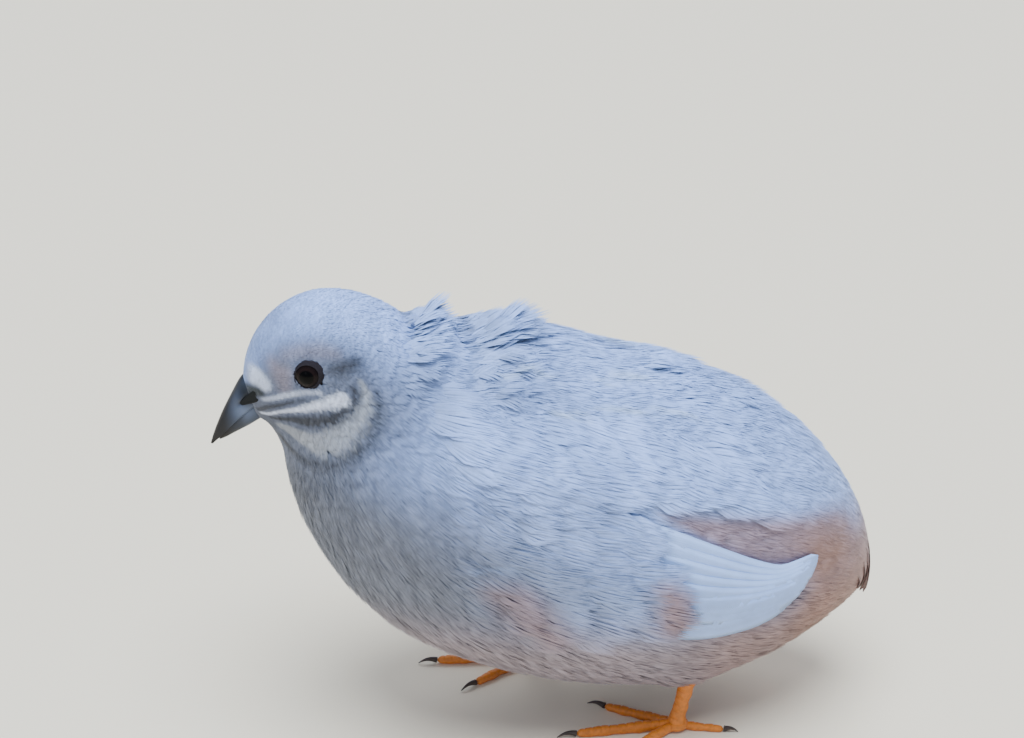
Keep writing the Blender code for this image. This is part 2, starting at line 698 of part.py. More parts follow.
def settle_bird():
    """Centres the finished bird's bounding box over the origin and turns millimetres to metres."""
    parts = collection_named("button_quail").objects
    corners = [Vector(corner) for part in parts for corner in part.bound_box]
    low = [min(c[i] for c in corners) for i in range(2)]
    high = [max(c[i] for c in corners) for i in range(2)]
    shift = Matrix.Translation((-(low[0] + high[0]) / 2, -(low[1] + high[1]) / 2, 0))
    for part in parts:
        part.data.transform(Matrix.Scale(MM, 4) @ shift)


def main():
    clear_scene()
    surface = Surface()
    make_head(surface)
    make_bill()
    add_object("neck", body_length(HEAD_END, NECK_END), FEATHER_BLUE)
    make_torso()
    make_tail()
    for name, side in SIDES.items():
        make_wing(name, side, surface)
        make_leg(name, surface)
        make_foot(name, side)
    settle_bird()


main()
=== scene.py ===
"""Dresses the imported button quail: skin, plumage, wings, tail, eyes, bill, legs, and a plain studio stage.

Run as a script. Tables are in millimetres in the bird's own frame, which the frame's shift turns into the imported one.
"""

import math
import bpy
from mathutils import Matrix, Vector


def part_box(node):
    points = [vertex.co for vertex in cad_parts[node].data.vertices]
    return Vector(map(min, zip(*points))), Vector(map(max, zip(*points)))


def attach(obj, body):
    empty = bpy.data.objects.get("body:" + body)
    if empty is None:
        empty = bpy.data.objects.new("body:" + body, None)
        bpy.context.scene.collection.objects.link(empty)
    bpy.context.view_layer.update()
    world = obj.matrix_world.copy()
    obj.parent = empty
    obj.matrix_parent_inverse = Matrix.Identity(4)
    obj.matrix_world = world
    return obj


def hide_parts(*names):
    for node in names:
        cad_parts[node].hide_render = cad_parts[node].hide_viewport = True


bl_info = {
    "name": "Silver button quail plumage",
    "version": (1, 0, 0),
    "blender": (4, 5, 0),
    "location": "View3D > Sidebar > Quail",
    "description": "Dresses the solid quail with feathers, eyes, bill, legs and a studio stage",
    "category": "Object",
}

import bpy
import numpy as np
from bpy.props import FloatProperty, FloatVectorProperty, IntProperty, PointerProperty
from mathutils import Matrix, Vector
from mathutils.bvhtree import BVHTree

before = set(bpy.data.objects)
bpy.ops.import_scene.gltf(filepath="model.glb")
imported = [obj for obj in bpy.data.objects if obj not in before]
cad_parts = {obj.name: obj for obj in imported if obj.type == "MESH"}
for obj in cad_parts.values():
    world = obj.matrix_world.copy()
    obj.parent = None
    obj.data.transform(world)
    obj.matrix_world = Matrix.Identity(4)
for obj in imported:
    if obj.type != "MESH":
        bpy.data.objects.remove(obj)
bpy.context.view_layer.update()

MM = 0.001
SIDES = {"left": -1, "right": 1}
BILL_TIP_X = -50.6
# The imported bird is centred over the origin, so the tables' frame is shifted until the bill tips agree.
SHIFT = np.array([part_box("bill_upper")[0].x / MM - BILL_TIP_X, 0.0, 0.0])

# The outline of the plumage from the face to the vent: back line (x, z), belly line (x, z), half width.
BODY = np.array(
    (
        (-45.4, 60.3, -43.0, 53.6, 2.7),
        (-44.7, 64.0, -42.0, 53.2, 4.8),
        (-42.8, 67.9, -41.4, 52.5, 6.6),
        (-39.3, 71.4, -40.9, 51.5, 7.8),
        (-34.4, 73.5, -40.4, 50.2, 8.6),
        (-29.0, 73.2, -39.9, 48.6, 9.4),
        (-24.4, 71.2, -39.6, 46.6, 10.6),
        (-20.2, 68.8, -39.3, 44.0, 12.8),
        (-14.6, 67.4, -38.5, 40.2, 16.0),
        (-7.2, 66.2, -36.4, 34.4, 19.0),
        (2.0, 64.4, -31.3, 25.4, 21.2),
        (12.0, 61.4, -22.5, 16.4, 22.5),
        (22.2, 58.0, -8.0, 9.4, 22.8),
        (31.6, 53.2, 8.0, 5.6, 21.6),
        (39.4, 47.4, 22.0, 5.2, 18.8),
        (45.2, 40.6, 33.5, 8.4, 14.8),
        (49.2, 33.4, 42.0, 13.0, 10.2),
        (51.2, 26.6, 47.6, 16.4, 5.4),
        (51.8, 21.4, 50.4, 18.8, 1.6),
    )
)
LAST = len(BODY) - 1.0

# The folded wing seen from the side: heights of its upper and lower edge and how far it stands out, along x.
WING_X = (-18.5, -16.5, -11.0, -5.0, 0.0, 8.0, 14.0, 22.0, 30.0, 36.0, 40.0, 42.0)
WING_TOP = (51.0, 57.0, 60.5, 60.8, 60.2, 58.8, 57.0, 54.4, 50.4, 45.0, 37.0, 31.0)
WING_FOOT = (50.0, 43.0, 37.6, 33.4, 30.4, 27.2, 25.0, 22.6, 22.6, 24.4, 28.0, 30.5)
WING_RISE = (0.0, 0.5, 1.2, 1.5, 1.5, 1.2, 0.9, 0.6, 0.3, 0.1, 0.0, 0.0)

# The coat along the body, read at the places 0, 2, 4 ... 18: how deep the skin lies, then a feather's length and
# half width and the distance from one feather to the next.
COAT_DEPTH = (0.25, 0.35, 0.45, 0.65, 1.1, 1.35, 1.4, 1.4, 1.2, 0.45)
COAT_LENGTH = (0.85, 1.15, 1.5, 2.3, 4.4, 6.2, 7.0, 7.2, 6.6, 4.5)
COAT_WIDTH = (0.36, 0.48, 0.58, 0.92, 1.5, 2.0, 2.2, 2.2, 2.0, 1.4)
COAT_SPACING = (0.36, 0.4, 0.45, 0.72, 1.18, 1.5, 1.6, 1.6, 1.5, 1.2)

# Where the mantle dips between its ruffled tufts: place, spread along, spread around in degrees, depth.
DIPS = ((7.05, 0.26, 34, 1.4), (8.55, 0.3, 40, 2.8), (10.9, 0.35, 26, 0.9))
# Where the mantle feathers stand up: place, spread along, degrees from the back line, spread around, lift.
RUFFLES = ((7.3, 0.28, 8, 34, 4.8), (8.95, 0.36, 4, 38, 5.0), (11.3, 0.4, 8, 28, 1.6), (12.6, 0.4, -6, 24, 1.0))

EYE_AT, EYE_LOOK, EYE_RADIUS, EYE_SINK = (-36.15, 64.3), (-0.28, 1.0, 0.10), 3.0, 2.4


class QuailSizes(bpy.types.PropertyGroup):
    """Sizes that a user would change."""

    coat_length: FloatProperty(
        name="Feather length", description="Share of the usual length", default=1.0, min=0.5, max=1.5, subtype="FACTOR"
    )
    coat_lift: FloatProperty(
        name="Feather lift", description="How far the tips stand off the body", default=0.12 * MM, min=0.0, max=MM,
        precision=5, unit="LENGTH",
    )
    eye_radius: FloatProperty(
        name="Eye radius", description="Radius of the eyeball", default=EYE_RADIUS * MM, min=2 * MM, max=4 * MM,
        precision=5, unit="LENGTH",
    )
    lid_opening: FloatProperty(
        name="Lid opening", description="Radius of the opening between the lids", default=1.74 * MM, min=1.5 * MM,
        max=3 * MM, precision=5, unit="LENGTH",
    )
    wing_barbs: IntProperty(name="Vane rows", description="Rows of faces along a vane", default=16, min=6, max=40)


def linear(code):
    """A hex sRGB colour as linear red, green and blue."""
    shares = [int(code[i : i + 2], 16) / 255 for i in (0, 2, 4)]
    return tuple(c / 12.92 if c <= 0.04045 else ((c + 0.055) / 1.055) ** 2.4 for c in shares)


def colour_property(name, code, description):
    return FloatVectorProperty(
        name=name, description=description, default=linear(code), size=3, min=0, max=1, subtype="COLOR"
    )


class QuailColours(bpy.types.PropertyGroup):
    """The plumage colours."""

    back: colour_property("Back", "A5C1FF", "Silver blue of back, wings and crown")
    # Partly the breast's own slate blue, partly painted shade on a breast that faces down.
    breast: colour_property("Breast", "70727C", "Darker slate blue of neck and breast")
    face: colour_property("Face", "5B5E69", "Dark slate of lores, cheeks and nape")
    belly: colour_property("Belly", "A29094", "Mauve grey of belly and flanks")
    rump: colour_property("Rump", "A17563", "Mauve brown of tail and lower rump")
    quill: colour_property("Primaries", "A4C2FB", "Pale blue of the folded primaries")
    bib: colour_property("Bib", "A2A6B0", "Greyish white of the throat crescent")
    stripe: colour_property("Cheek stripe", "E6ECFF", "Bluish white of the moustache, lore and cheek")
    mask: colour_property("Mask", "37383F", "Dark slate of throat band and borders")


def curve(table, place):
    """A smooth curve through equally spaced rows, read at many places."""
    last = len(table) - 1
    place = np.clip(place, 0, last)
    i = np.minimum(place.astype(int), last - 1)
    share = (place - i)[..., None]
    a, b = table[np.maximum(i - 1, 0)], table[i]
    c, d = table[i + 1], table[np.minimum(i + 2, last)]
    return b + 0.5 * share * (c - a + share * (2 * a - 5 * b + 4 * c - d + share * (3 * (b - c) + d - a)))


def along_coat(values, place):
    """One of the coat's sizes at many places."""
    return np.interp(place, np.linspace(0, LAST, len(values)), values)


def ease(low, high, value):
    """0 below low, 1 above high and a smooth step between."""
    share = np.clip((value - low) / (high - low), 0, 1)
    return share * share * (3 - 2 * share)


def body(place, turn, swell=0.0):
    """Points on the outline. Turn is 0 on the back line, pi on the belly line and positive on the left."""
    row = curve(BODY, place)
    upper, lower, half = row[..., 0:2], row[..., 2:4], row[..., 4]
    reach = (upper - lower) / 2
    length = np.linalg.norm(reach, axis=-1)
    swell = np.maximum(swell, -0.85 * np.minimum(length, half))
    xz = (upper + lower) / 2 + reach * ((1 + swell / length) * np.cos(turn))[..., None]
    return np.stack([xz[..., 0], -(half + swell) * np.sin(turn), xz[..., 1]], -1)


def wing_rise(points):
    """How far the folded wing holds the plumage off the outline."""
    x, z = points[..., 0], points[..., 2]
    top, foot = np.interp(x, WING_X, WING_TOP), np.interp(x, WING_X, WING_FOOT)
    share = (z - foot) / (top - foot)
    rise = np.interp(x, WING_X, WING_RISE, left=0, right=0)
    return rise * ease(-0.02, 0.28, share) * ease(-0.05, 0.3, 1 - share)


HIPS = ((21.4, -11.0), (1.8, 11.5))
HIP_DROP, HIP_LENGTH, HIP_WIDTH = 1.3, 4.6, 3.7


def dips(place, turn):
    """The hollows between the mantle's tufts."""
    turn = np.degrees((turn + np.pi) % (2 * np.pi) - np.pi)
    depth = np.zeros(np.shape(place))
    for centre, spread, width, sunk in DIPS:
        clump = 0.8 + 0.2 * np.cos(turn / 9)
        depth -= sunk * clump * np.exp(-(((place - centre) / spread) ** 2) - (turn / width) ** 2)
    return depth


def form(place, turn, swell=0.0):
    """The outline with the wings' rise, the mantle's hollows and the feathered thighs added."""
    points = body(place, turn, swell + dips(place, turn) + wing_rise(body(place, turn)))
    for x, y in HIPS:
        away = ((points[..., 0] - x) / HIP_LENGTH) ** 2 + ((points[..., 1] - y) / HIP_WIDTH) ** 2
        points[..., 2] -= HIP_DROP * np.exp(-(away**1.5)) * (points[..., 2] < 20)
    return points


def unit(vectors):
    return vectors / np.maximum(np.linalg.norm(vectors, axis=-1, keepdims=True), 1e-9)


def tangents(place, turn):
    """How the outline runs along and around the body at many roots, and the way out."""
    step = 0.02
    low, high = np.maximum(place - step, 0), np.minimum(place + step, LAST)
    along = (form(high, turn) - form(low, turn)) / (high - low)[..., None]
    around = (form(place, turn + step) - form(place, turn - step)) / (2 * step)
    return along, around, unit(np.cross(around, along))


def unwrap(place, turn):
    """A root's place on an unwrap of the skin, cut along the belly."""
    turn = (turn + np.pi) % (2 * np.pi) - np.pi
    return np.stack([0.5 + turn / (2 * np.pi), 0.02 + 0.96 * np.clip(place, 0, LAST) / LAST], -1)


# Markings and painted shade as chains of (x, z, half width) on the side of the bird.
MOUSTACHE = ((-42.9, 56.4, 0.2), (-40.2, 58.1, 0.3), (-37.3, 58.9, 0.45), (-34.4, 59.9, 0.8), (-31.2, 61.0, 1.05))
GAPE_LINE = ((-43.4, 56.8, 0.3), (-42.1, 58.4, 0.35), (-40.2, 59.3, 0.32), (-37.7, 60.3, 0.2), (-35.8, 60.7, 0.05))
PALE_CHEEK = ((-42.6, 59.6, 0.3), (-39.4, 61.1, 0.45), (-36.5, 61.8, 0.4), (-34.2, 61.8, 0.25))
THROAT = (
    (-41.6, 56.4, 0.2),
    (-38.8, 56.9, 0.5),
    (-35.9, 56.9, 0.95),
    (-33.0, 57.8, 0.95),
    (-30.9, 59.2, 0.75),
    (-29.4, 60.7, 0.5),
    (-29.0, 62.0, 0.4),
    (-29.7, 62.8, 0.25),
)
BIB = (
    (-40.3, 55.2, 0.5),
    (-38.8, 54.7, 0.8),
    (-37.4, 53.9, 1.15),
    (-35.2, 53.4, 1.55),
    (-33.1, 54.4, 1.65),
    (-31.0, 56.1, 1.45),
    (-29.0, 58.2, 1.1),
    (-27.8, 60.4, 0.7),
    (-27.7, 62.3, 0.5),
    (-28.3, 63.6, 0.3),
)
BIB_BORDER = (
    (-40.4, 52.6, 0.4),
    (-38.9, 50.6, 0.45),
    (-37.2, 49.8, 0.5),
    (-35.0, 50.2, 0.5),
    (-32.2, 51.6, 0.6),
    (-29.6, 53.6, 0.65),
    (-27.6, 55.8, 0.6),
    (-26.2, 58.2, 0.5),
    (-25.7, 60.4, 0.35),
    (-26.0, 62.2, 0.2),
)
EAR_SPOT = ((-32.8, 65.2, 0.4), (-30.8, 65.6, 1.0), (-28.9, 66.1, 0.9))
LORE_SPOT = ((-44.1, 61.9, 0.6), (-43.4, 62.9, 1.2), (-42.6, 62.2, 1.1))
LORE_DARK = ((-44.7, 59.7, 0.9), (-43.0, 60.6, 0.65))
MAUVE_FACE = ((-40.9, 65.6, 0.8), (-39.8, 64.4, 1.4), (-39.4, 62.4, 0.8))
BROW = ((-39.1, 67.2, 0.8), (-37.0, 67.8, 1.0), (-34.1, 68.0, 1.1), (-31.8, 67.4, 0.8))
WEDGE = ((17.0, 43.6, 0.7), (21.0, 41.7, 1.7), (26.0, 39.1, 2.9), (31.0, 36.7, 4.0), (36.0, 35.2, 3.8), (42.0, 33.0, 4.5))
# Painted shadow along the lower edge of the folded primaries.
QUILL_SHADOW_LINE = ((17.0, 22.4, 0.3), (22.0, 21.8, 0.4), (28.0, 22.4, 0.4), (34.0, 23.8, 0.4), (39.5, 26.2, 0.3))
FLANK_LOBE = ((15.6, 33.0, 1.8), (16.9, 30.0, 3.0), (17.2, 26.6, 2.6))
FLANK_PATCH = ((-9.6, 33.0, 1.8), (-6.4, 31.5, 3.4), (-4.0, 28.0, 3.6), (-1.0, 24.5, 2.6))
FLANK_EDGE = ((-12.5, 36.7, 0.25), (-9.5, 37.6, 0.3), (-6.5, 38.1, 0.2))
# Painted shadow lines under the lower edges of the wing's feather masses.
WING_SHADOW_LINES = (
    ((-3.7, 50.8, 0.1), (-1.5, 49.9, 0.25), (2.1, 48.4, 0.3), (5.0, 47.2, 0.3), (7.9, 46.2, 0.1)),
    ((-10.8, 47.7, 0.1), (-8.7, 47.2, 0.25), (-6.5, 46.4, 0.25), (-3.8, 45.5, 0.1)),
    ((-20.6, 36.9, 0.2), (-19.6, 35.1, 0.35)),
)
# Painted shade in the hollows between the mantle's ruffled tufts.
MANTLE_GAP_SHADOWS = (
    ((-11.9, 66.4, 0.3), (-10.2, 66.6, 0.8), (-8.2, 65.5, 0.4)),
    ((-4.7, 65.2, 0.3), (-2.3, 65.3, 0.6), (1.6, 65.7, 0.2)),
    ((-7.8, 64.5, 0.4), (-5.7, 64.1, 0.3)),
    ((-9.5, 61.8, 0.4), (-7.6, 61.1, 0.4), (-5.5, 59.9, 0.2)),
)
MANTLE_SHADE = ((-19.0, 64.0, 3.0), (-10.0, 63.0, 3.5), (0.0, 61.0, 3.0))
STREAKS = (
    ((-0.7, 59.1, 0.1), (2.2, 58.4, 0.3), (5.5, 58.0, 0.1)),
    ((6.5, 58.3, 0.1), (11.0, 57.5, 0.25), (14.5, 56.6, 0.1)),
    ((14.5, 57.0, 0.1), (19.8, 55.4, 0.2), (22.0, 54.6, 0.1)),
    ((6.9, 60.7, 0.1), (12.6, 60.0, 0.2), (15.0, 59.4, 0.1)),
    ((-8.3, 63.1, 0.1), (-3.6, 63.2, 0.25), (-1.0, 62.8, 0.1)),
)


def mark(points, chain, soft):
    """How far many points belong to a painted chain, marking and painted shade alike, from 0 to 1, by their distance to
    it seen from the side.
    """
    spots = points[..., (0, 2)]
    inside = np.full(spots.shape[:-1], -1e9)
    for first, second in zip(chain, chain[1:]):
        start, step = np.array(first[:2]), np.array(second[:2]) - np.array(first[:2])
        share = np.clip(((spots - start) @ step) / (step @ step), 0, 1)
        away = np.linalg.norm(spots - start - share[..., None] * step, axis=-1)
        inside = np.maximum(inside, first[2] + share * (second[2] - first[2]) - away)
    return ease(-soft, soft, inside)


def blend(base, colour, share):
    return base + (np.array(colour) - base) * share[..., None]


def plumage(points, place, turn, colours):
    """The feathers' colour over the body, markings and all, with painted shade in the mantle's hollows and on the lower
    breast, and painted shadow lines under the wing's feather edges and the primaries.
    """
    x, z = points[..., 0], points[..., 2]
    side = np.abs(np.sin(turn))
    base = np.broadcast_to(np.array(colours.back), points.shape).copy()
    below = ease(0.15, 0.75, (1 - np.cos(turn)) / 2)
    chest = below * ease(5.2, 8.0, place) * (1 - ease(10.5, 13.5, place))
    # Darker towards the bottom of the chest: partly its own slate, partly painted shade where it faces down.
    base = blend(base, colours.breast, chest * (0.4 + 0.55 * ease(56, 44, z)))
    head = 1 - ease(7.0, 9.5, place)
    base = blend(base, colours.face, (0.04 + 0.86 * ease(0.02, 0.34, (1 - np.cos(turn)) / 2)) * head)
    base = blend(base, colours.face, 0.45 * (1 - ease(2.4, 4.2, place)))
    base = blend(base, colours.belly, 0.95 * ease(32, 18, z) * ease(9.0, 11.5, place))
    base = blend(base, colours.rump, 0.55 * ease(16, 30, x) * ease(31, 20, z))
    base = blend(base, colours.rump, 0.9 * ease(41, 32, z + 0.35 * (x - 40)) * ease(33, 41, x))
    washes = (
        (MANTLE_SHADE, 4.0, colours.face, 0.33),
        (FLANK_PATCH, 2.6, colours.rump, 0.55),
        (WEDGE, 1.4, colours.rump, 0.8),
        (FLANK_LOBE, 2.0, colours.rump, 0.8),
        (FLANK_EDGE, 0.5, colours.quill, 0.7),
        # Painted shadow under the folded primaries.
        (QUILL_SHADOW_LINE, 0.5, colours.mask, 0.5),
        (MAUVE_FACE, 1.8, colours.face, 0.35),
        (MAUVE_FACE, 1.2, colours.belly, 0.5),
        (BROW, 1.7, colours.face, 0.45),
        (BROW, 1.0, colours.belly, 0.3),
        (PALE_CHEEK, 0.35, colours.stripe, 0.55),
        (EAR_SPOT, 2.2, colours.face, 0.3),
        (EAR_SPOT, 0.8, colours.mask, 0.85),
    )
    for chain, soft, colour, strength in washes:
        base = blend(base, colour, strength * mark(points, chain, soft) * side**0.3)
    # Painted shade: shadow lines under the wing's feather edges and in the mantle's hollows, in the face's dark slate.
    for chain in WING_SHADOW_LINES + MANTLE_GAP_SHADOWS:
        base = blend(base, colours.face, 0.4 * mark(points, chain, 0.9))
    for chain in STREAKS:
        base = blend(base, (0.6, 0.75, 1.0), 0.6 * mark(points, chain, 0.25))
    base = blend(base, colours.bib, 0.95 * mark(points, BIB, 0.3))
    base = blend(base, colours.mask, 0.85 * mark(points, BIB_BORDER, 0.45))
    base = blend(base, colours.mask, 0.95 * mark(points, THROAT, 0.25))
    base = blend(base, colours.stripe, 0.95 * mark(points, MOUSTACHE, 0.2))
    base = blend(base, colours.mask, 0.85 * mark(points, GAPE_LINE, 0.2))
    base = blend(base, colours.stripe, 0.75 * mark(points, LORE_SPOT, 0.6))
    base = blend(base, (0.012, 0.016, 0.014), 0.9 * mark(points, LORE_DARK, 0.4))
    return base * (1 + (0.06 + 0.05 * chest) * clouds(points))[..., None]


CLOUDS = np.random.default_rng(3).normal(0, 0.55, (7, 3))


def clouds(points):
    """Soft patches a few millimetres wide, from -1 to 1."""
    return np.tanh(sum(np.sin(points @ way + k) for k, way in enumerate(CLOUDS)) / 2.2)


def new_object(name, mesh, body_name="root"):
    obj = bpy.data.objects.new(name, mesh)
    bpy.context.scene.collection.objects.link(obj)
    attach(obj, body_name)
    return obj


def packed(points):
    """Millimetres in the tables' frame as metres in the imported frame."""
    return (points + SHIFT) * MM


def triangle_mesh(name, points, triangles):
    mesh = bpy.data.meshes.new(name)
    mesh.vertices.add(len(points))
    mesh.vertices.foreach_set("co", packed(points).astype(np.float32).ravel())
    mesh.loops.add(3 * len(triangles))
    mesh.loops.foreach_set("vertex_index", triangles.astype(np.int32).ravel())
    mesh.polygons.add(len(triangles))
    mesh.polygons.foreach_set("loop_start", np.arange(0, 3 * len(triangles), 3, dtype=np.int32))
    mesh.update(calc_edges=True)
    mesh.shade_smooth()
    return mesh


def paint(mesh, colours, name="plumage"):
    layer = mesh.color_attributes.new(name, "FLOAT_COLOR", "POINT")
    rgba = np.concatenate([colours, np.ones((len(colours), 1))], 1)
    layer.data.foreach_set("color", rgba.astype(np.float32).ravel())


def add_map(mesh, name, places):
    """A UV map from one place for each vertex."""
    layer = mesh.uv_layers.new(name=name)
    corners = np.zeros(len(mesh.loops), np.int32)
    mesh.loops.foreach_get("vertex_index", corners)
    layer.data.foreach_set("uv", places[corners].astype(np.float32).ravel())


def grid_faces(rows, columns, closed):
    """Triangles of a grid of points, joined across its columns where it is closed."""
    faces = []
    width = columns if closed else columns - 1
    for i in range(rows - 1):
        for k in range(width):
            a, b = i * columns + k, i * columns + (k + 1) % columns
            faces += [(a, b, b + columns), (a, b + columns, a + columns)]
    return faces


def fan_faces(start, columns, flip):
    """Triangles that close one end of a ring of points."""
    pairs = [(start + k, start + k + 1) for k in range(1, columns - 1)]
    return [(start, b, a) if flip else (start, a, b) for a, b in pairs]


def coat_roots(first, last, draw, thin=1.0):
    """Roots spread evenly over the body between two places, in columns that thin out where the body narrows."""
    columns = 256
    order = np.array([int(f"{k:08b}"[::-1], 2) for k in range(columns)]) / columns
    turns = (np.arange(columns) + 0.5) / columns * 2 * np.pi - np.pi
    steps = np.linspace(0, LAST, 900)
    spacing = along_coat(COAT_SPACING, steps) * thin
    found = []
    for k, turn in enumerate(turns):
        line = form(steps, np.full_like(steps, turn))
        beside = form(steps, np.full_like(steps, turn + 2 * np.pi / columns))
        length = np.concatenate([[0], np.linalg.norm(np.diff(line, axis=0), axis=1)])
        count = np.cumsum(length / spacing)
        gap = np.linalg.norm(beside - line, axis=1)
        marks = np.arange(draw.random(), count[-1], 1.0)
        place = np.interp(marks, count, steps)
        active = order[k] < np.interp(place, steps, gap / spacing)
        keep = active & (place >= first) & (place < last)
        found.append(np.stack([place[keep], np.full(keep.sum(), turn)], 1))
    roots = np.concatenate(found)
    gaps = np.interp(roots[:, 0], steps, spacing)
    radius = np.linalg.norm(form(roots[:, 0], roots[:, 1]) - form(roots[:, 0], roots[:, 1] + np.pi), axis=1) / 2
    roots[:, 1] += draw.uniform(-0.35, 0.35, len(roots)) * gaps / np.maximum(radius, 1)
    return roots[:, 0], roots[:, 1]


def barb_faces(rings):
    """Triangles of one barb: three edges along it, a cap at the root and a point at the tip."""
    faces = [(0, 2, 1)]
    for i in range(rings - 1):
        for k in range(3):
            a, b = 3 * i + k, 3 * i + (k + 1) % 3
            faces += [(a, b, b + 3), (a, b + 3, a + 3)]
    start, tip = 3 * (rings - 1), 3 * rings
    faces += [(start + k, start + (k + 1) % 3, tip) for k in range(3)]
    return np.array(faces)


def soften(mesh, outs, share):
    """Turns the shading of thin barbs towards the way out of the body, so that a feather reads as one soft sheet."""
    own = np.zeros(len(outs) * 3, np.float32)
    mesh.vertex_normals.foreach_get("vector", own)
    mixed = unit(own.reshape(-1, 3) * (1 - share) + outs * share)
    mesh.normals_split_custom_set_from_vertices(mixed)


# The downy base of every feather is grey, which keeps the gaps between feathers soft.
DOWN_GREY = (0.2, 0.22, 0.27)
BARB_SHARES = {2: (0.0, 0.5), 3: (0.0, 0.36, 0.72)}
BARB_BREADTH = {2: (0.9, 1.0), 3: (0.85, 1.0, 0.85)}


def feathers(name, roots, sizes, barbs, rings, draw, colours, lie=0.0, tint=1.0):
    """A coat piece: each feather is a fan of thin tapered barbs from one root, laid along the outline.

    sizes holds, for each root, the length, the half width and the heights of root and tip off the outline.
    """
    place, turn = roots
    count = len(place)
    length, half, low, high = (np.broadcast_to(np.asarray(s, float), (count,)) for s in sizes)
    along, around, out = tangents(place, turn)
    forward = unit(along)
    sideways = np.cross(out, forward)
    stray = np.radians(draw.normal(0, 5, count)) + lie
    ahead = forward * np.cos(stray)[:, None] + sideways * np.sin(stray)[:, None]
    aside = np.cross(out, ahead)
    fan = np.linspace(-1, 1, barbs)
    shares = np.array(BARB_SHARES[rings] + (1.0,))
    spread = fan[None, :] + draw.uniform(-0.5, 0.5, (count, barbs)) * 1.2 / barbs
    reach = (1 - 0.3 * spread**2) * draw.uniform(0.86, 1.06, (count, barbs))
    u = length[:, None, None] * reach[:, :, None] * shares
    v = half[:, None, None] * spread[:, :, None] * (1 - (1 - shares) ** 2) * (1 - 0.2 * shares**3)
    move = u[..., None] * ahead[:, None, None] + v[..., None] * aside[:, None, None]
    g11, g12, g22 = (along * along).sum(1), (along * around).sum(1), (around * around).sum(1)
    b1 = (move * along[:, None, None]).sum(-1)
    b2 = (move * around[:, None, None]).sum(-1)
    scale = (g11 * g22 - g12 * g12)[:, None, None]
    g11, g12, g22 = (g[:, None, None] for g in (g11, g12, g22))
    new_place = np.clip(place[:, None, None] + (g22 * b1 - g12 * b2) / scale, 0.0, LAST)
    new_turn = turn[:, None, None] + (g11 * b2 - g12 * b1) / scale
    rise = 1 - (1 - shares) ** 1.6
    height = low[:, None, None] + (high - low)[:, None, None] * rise
    height = height - 0.14 * half[:, None, None] * spread[:, :, None] ** 2 * shares
    height = height + (draw.normal(0, 0.04, (count, barbs)) * np.minimum(length / 4, 1)[:, None])[:, :, None]
    points = form(new_place, new_turn, height)
    travel = np.gradient(points, axis=2)
    cross = unit(np.cross(out[:, None, None], travel))
    breadth = (1.85 * half / barbs)[:, None] * draw.uniform(0.8, 1.2, (count, barbs))
    widths = breadth[:, :, None] * np.array(BARB_BREADTH[rings])
    body_points = points[:, :, :rings]
    edge = cross[:, :, :rings] * widths[..., None]
    ridge = out[:, None, None] * (0.22 * widths)[..., None]
    sections = np.stack([body_points - edge, body_points + edge, body_points + ridge], 3)
    sections = sections.reshape(count, barbs, rings * 3, 3)
    vertices = np.concatenate([sections, points[:, :, -1:]], 2)
    per_barb = rings * 3 + 1
    template = barb_faces(rings)
    offsets = np.arange(count * barbs) * per_barb
    triangles = (template[None] + offsets[:, None, None]).reshape(-1, 3)
    mesh = triangle_mesh(name, vertices.reshape(-1, 3), triangles)
    soften(mesh, np.repeat(out, barbs * per_barb, 0), 0.7)
    share = np.concatenate([np.repeat(shares[:rings], 3), [1.0]])
    tone = plumage(form(new_place, new_turn), new_place, new_turn, colours)
    tone = np.concatenate([np.repeat(tone[:, :, :rings], 3, 2), tone[:, :, -1:]], 2)
    down = (0.2 + 0.4 * ease(4.5, 8.0, place))[:, None, None, None]
    tone = tone + (np.array(DOWN_GREY) - tone) * down * ((1 - share) ** 1.5)[:, None]
    shade = (tint + draw.normal(0, 0.04, count))[:, None, None] * (1 + draw.normal(0, 0.03, (count, barbs)))[:, :, None]
    shade = shade * (0.92 + 0.08 * share**0.7)
    paint(mesh, (tone * shade[..., None]).reshape(-1, 3))
    patch = unwrap(place, turn)[:, None, None]
    local = np.stack([spread[:, :, None] + 0 * share, 2 * np.broadcast_to(share, (count, barbs, per_barb)) - 1], -1)
    add_map(mesh, "OFBake", (patch + 0.0015 * np.clip(local, -1, 1)).reshape(-1, 2))
    return new_object(name, mesh)


def add_node(tree, kind, settings=(), links=()):
    """Adds a shader node, sets its properties and inputs, and links outputs of other nodes into it."""
    node = tree.nodes.new(kind)
    for key, value in dict(settings).items():
        if isinstance(key, str) and hasattr(node, key):
            setattr(node, key, value)
        else:
            node.inputs[key].default_value = value
    for socket, source in dict(links).items():
        tree.links.new(source, node.inputs[socket])
    return node


def new_material(name):
    made = bpy.data.materials.new(name)
    made.use_nodes = True
    shader = made.node_tree.nodes["Principled BSDF"]
    return made, made.node_tree, shader


def set_shader(shader, **values):
    for name, value in values.items():
        shader.inputs[name.replace("_", " ")].default_value = value


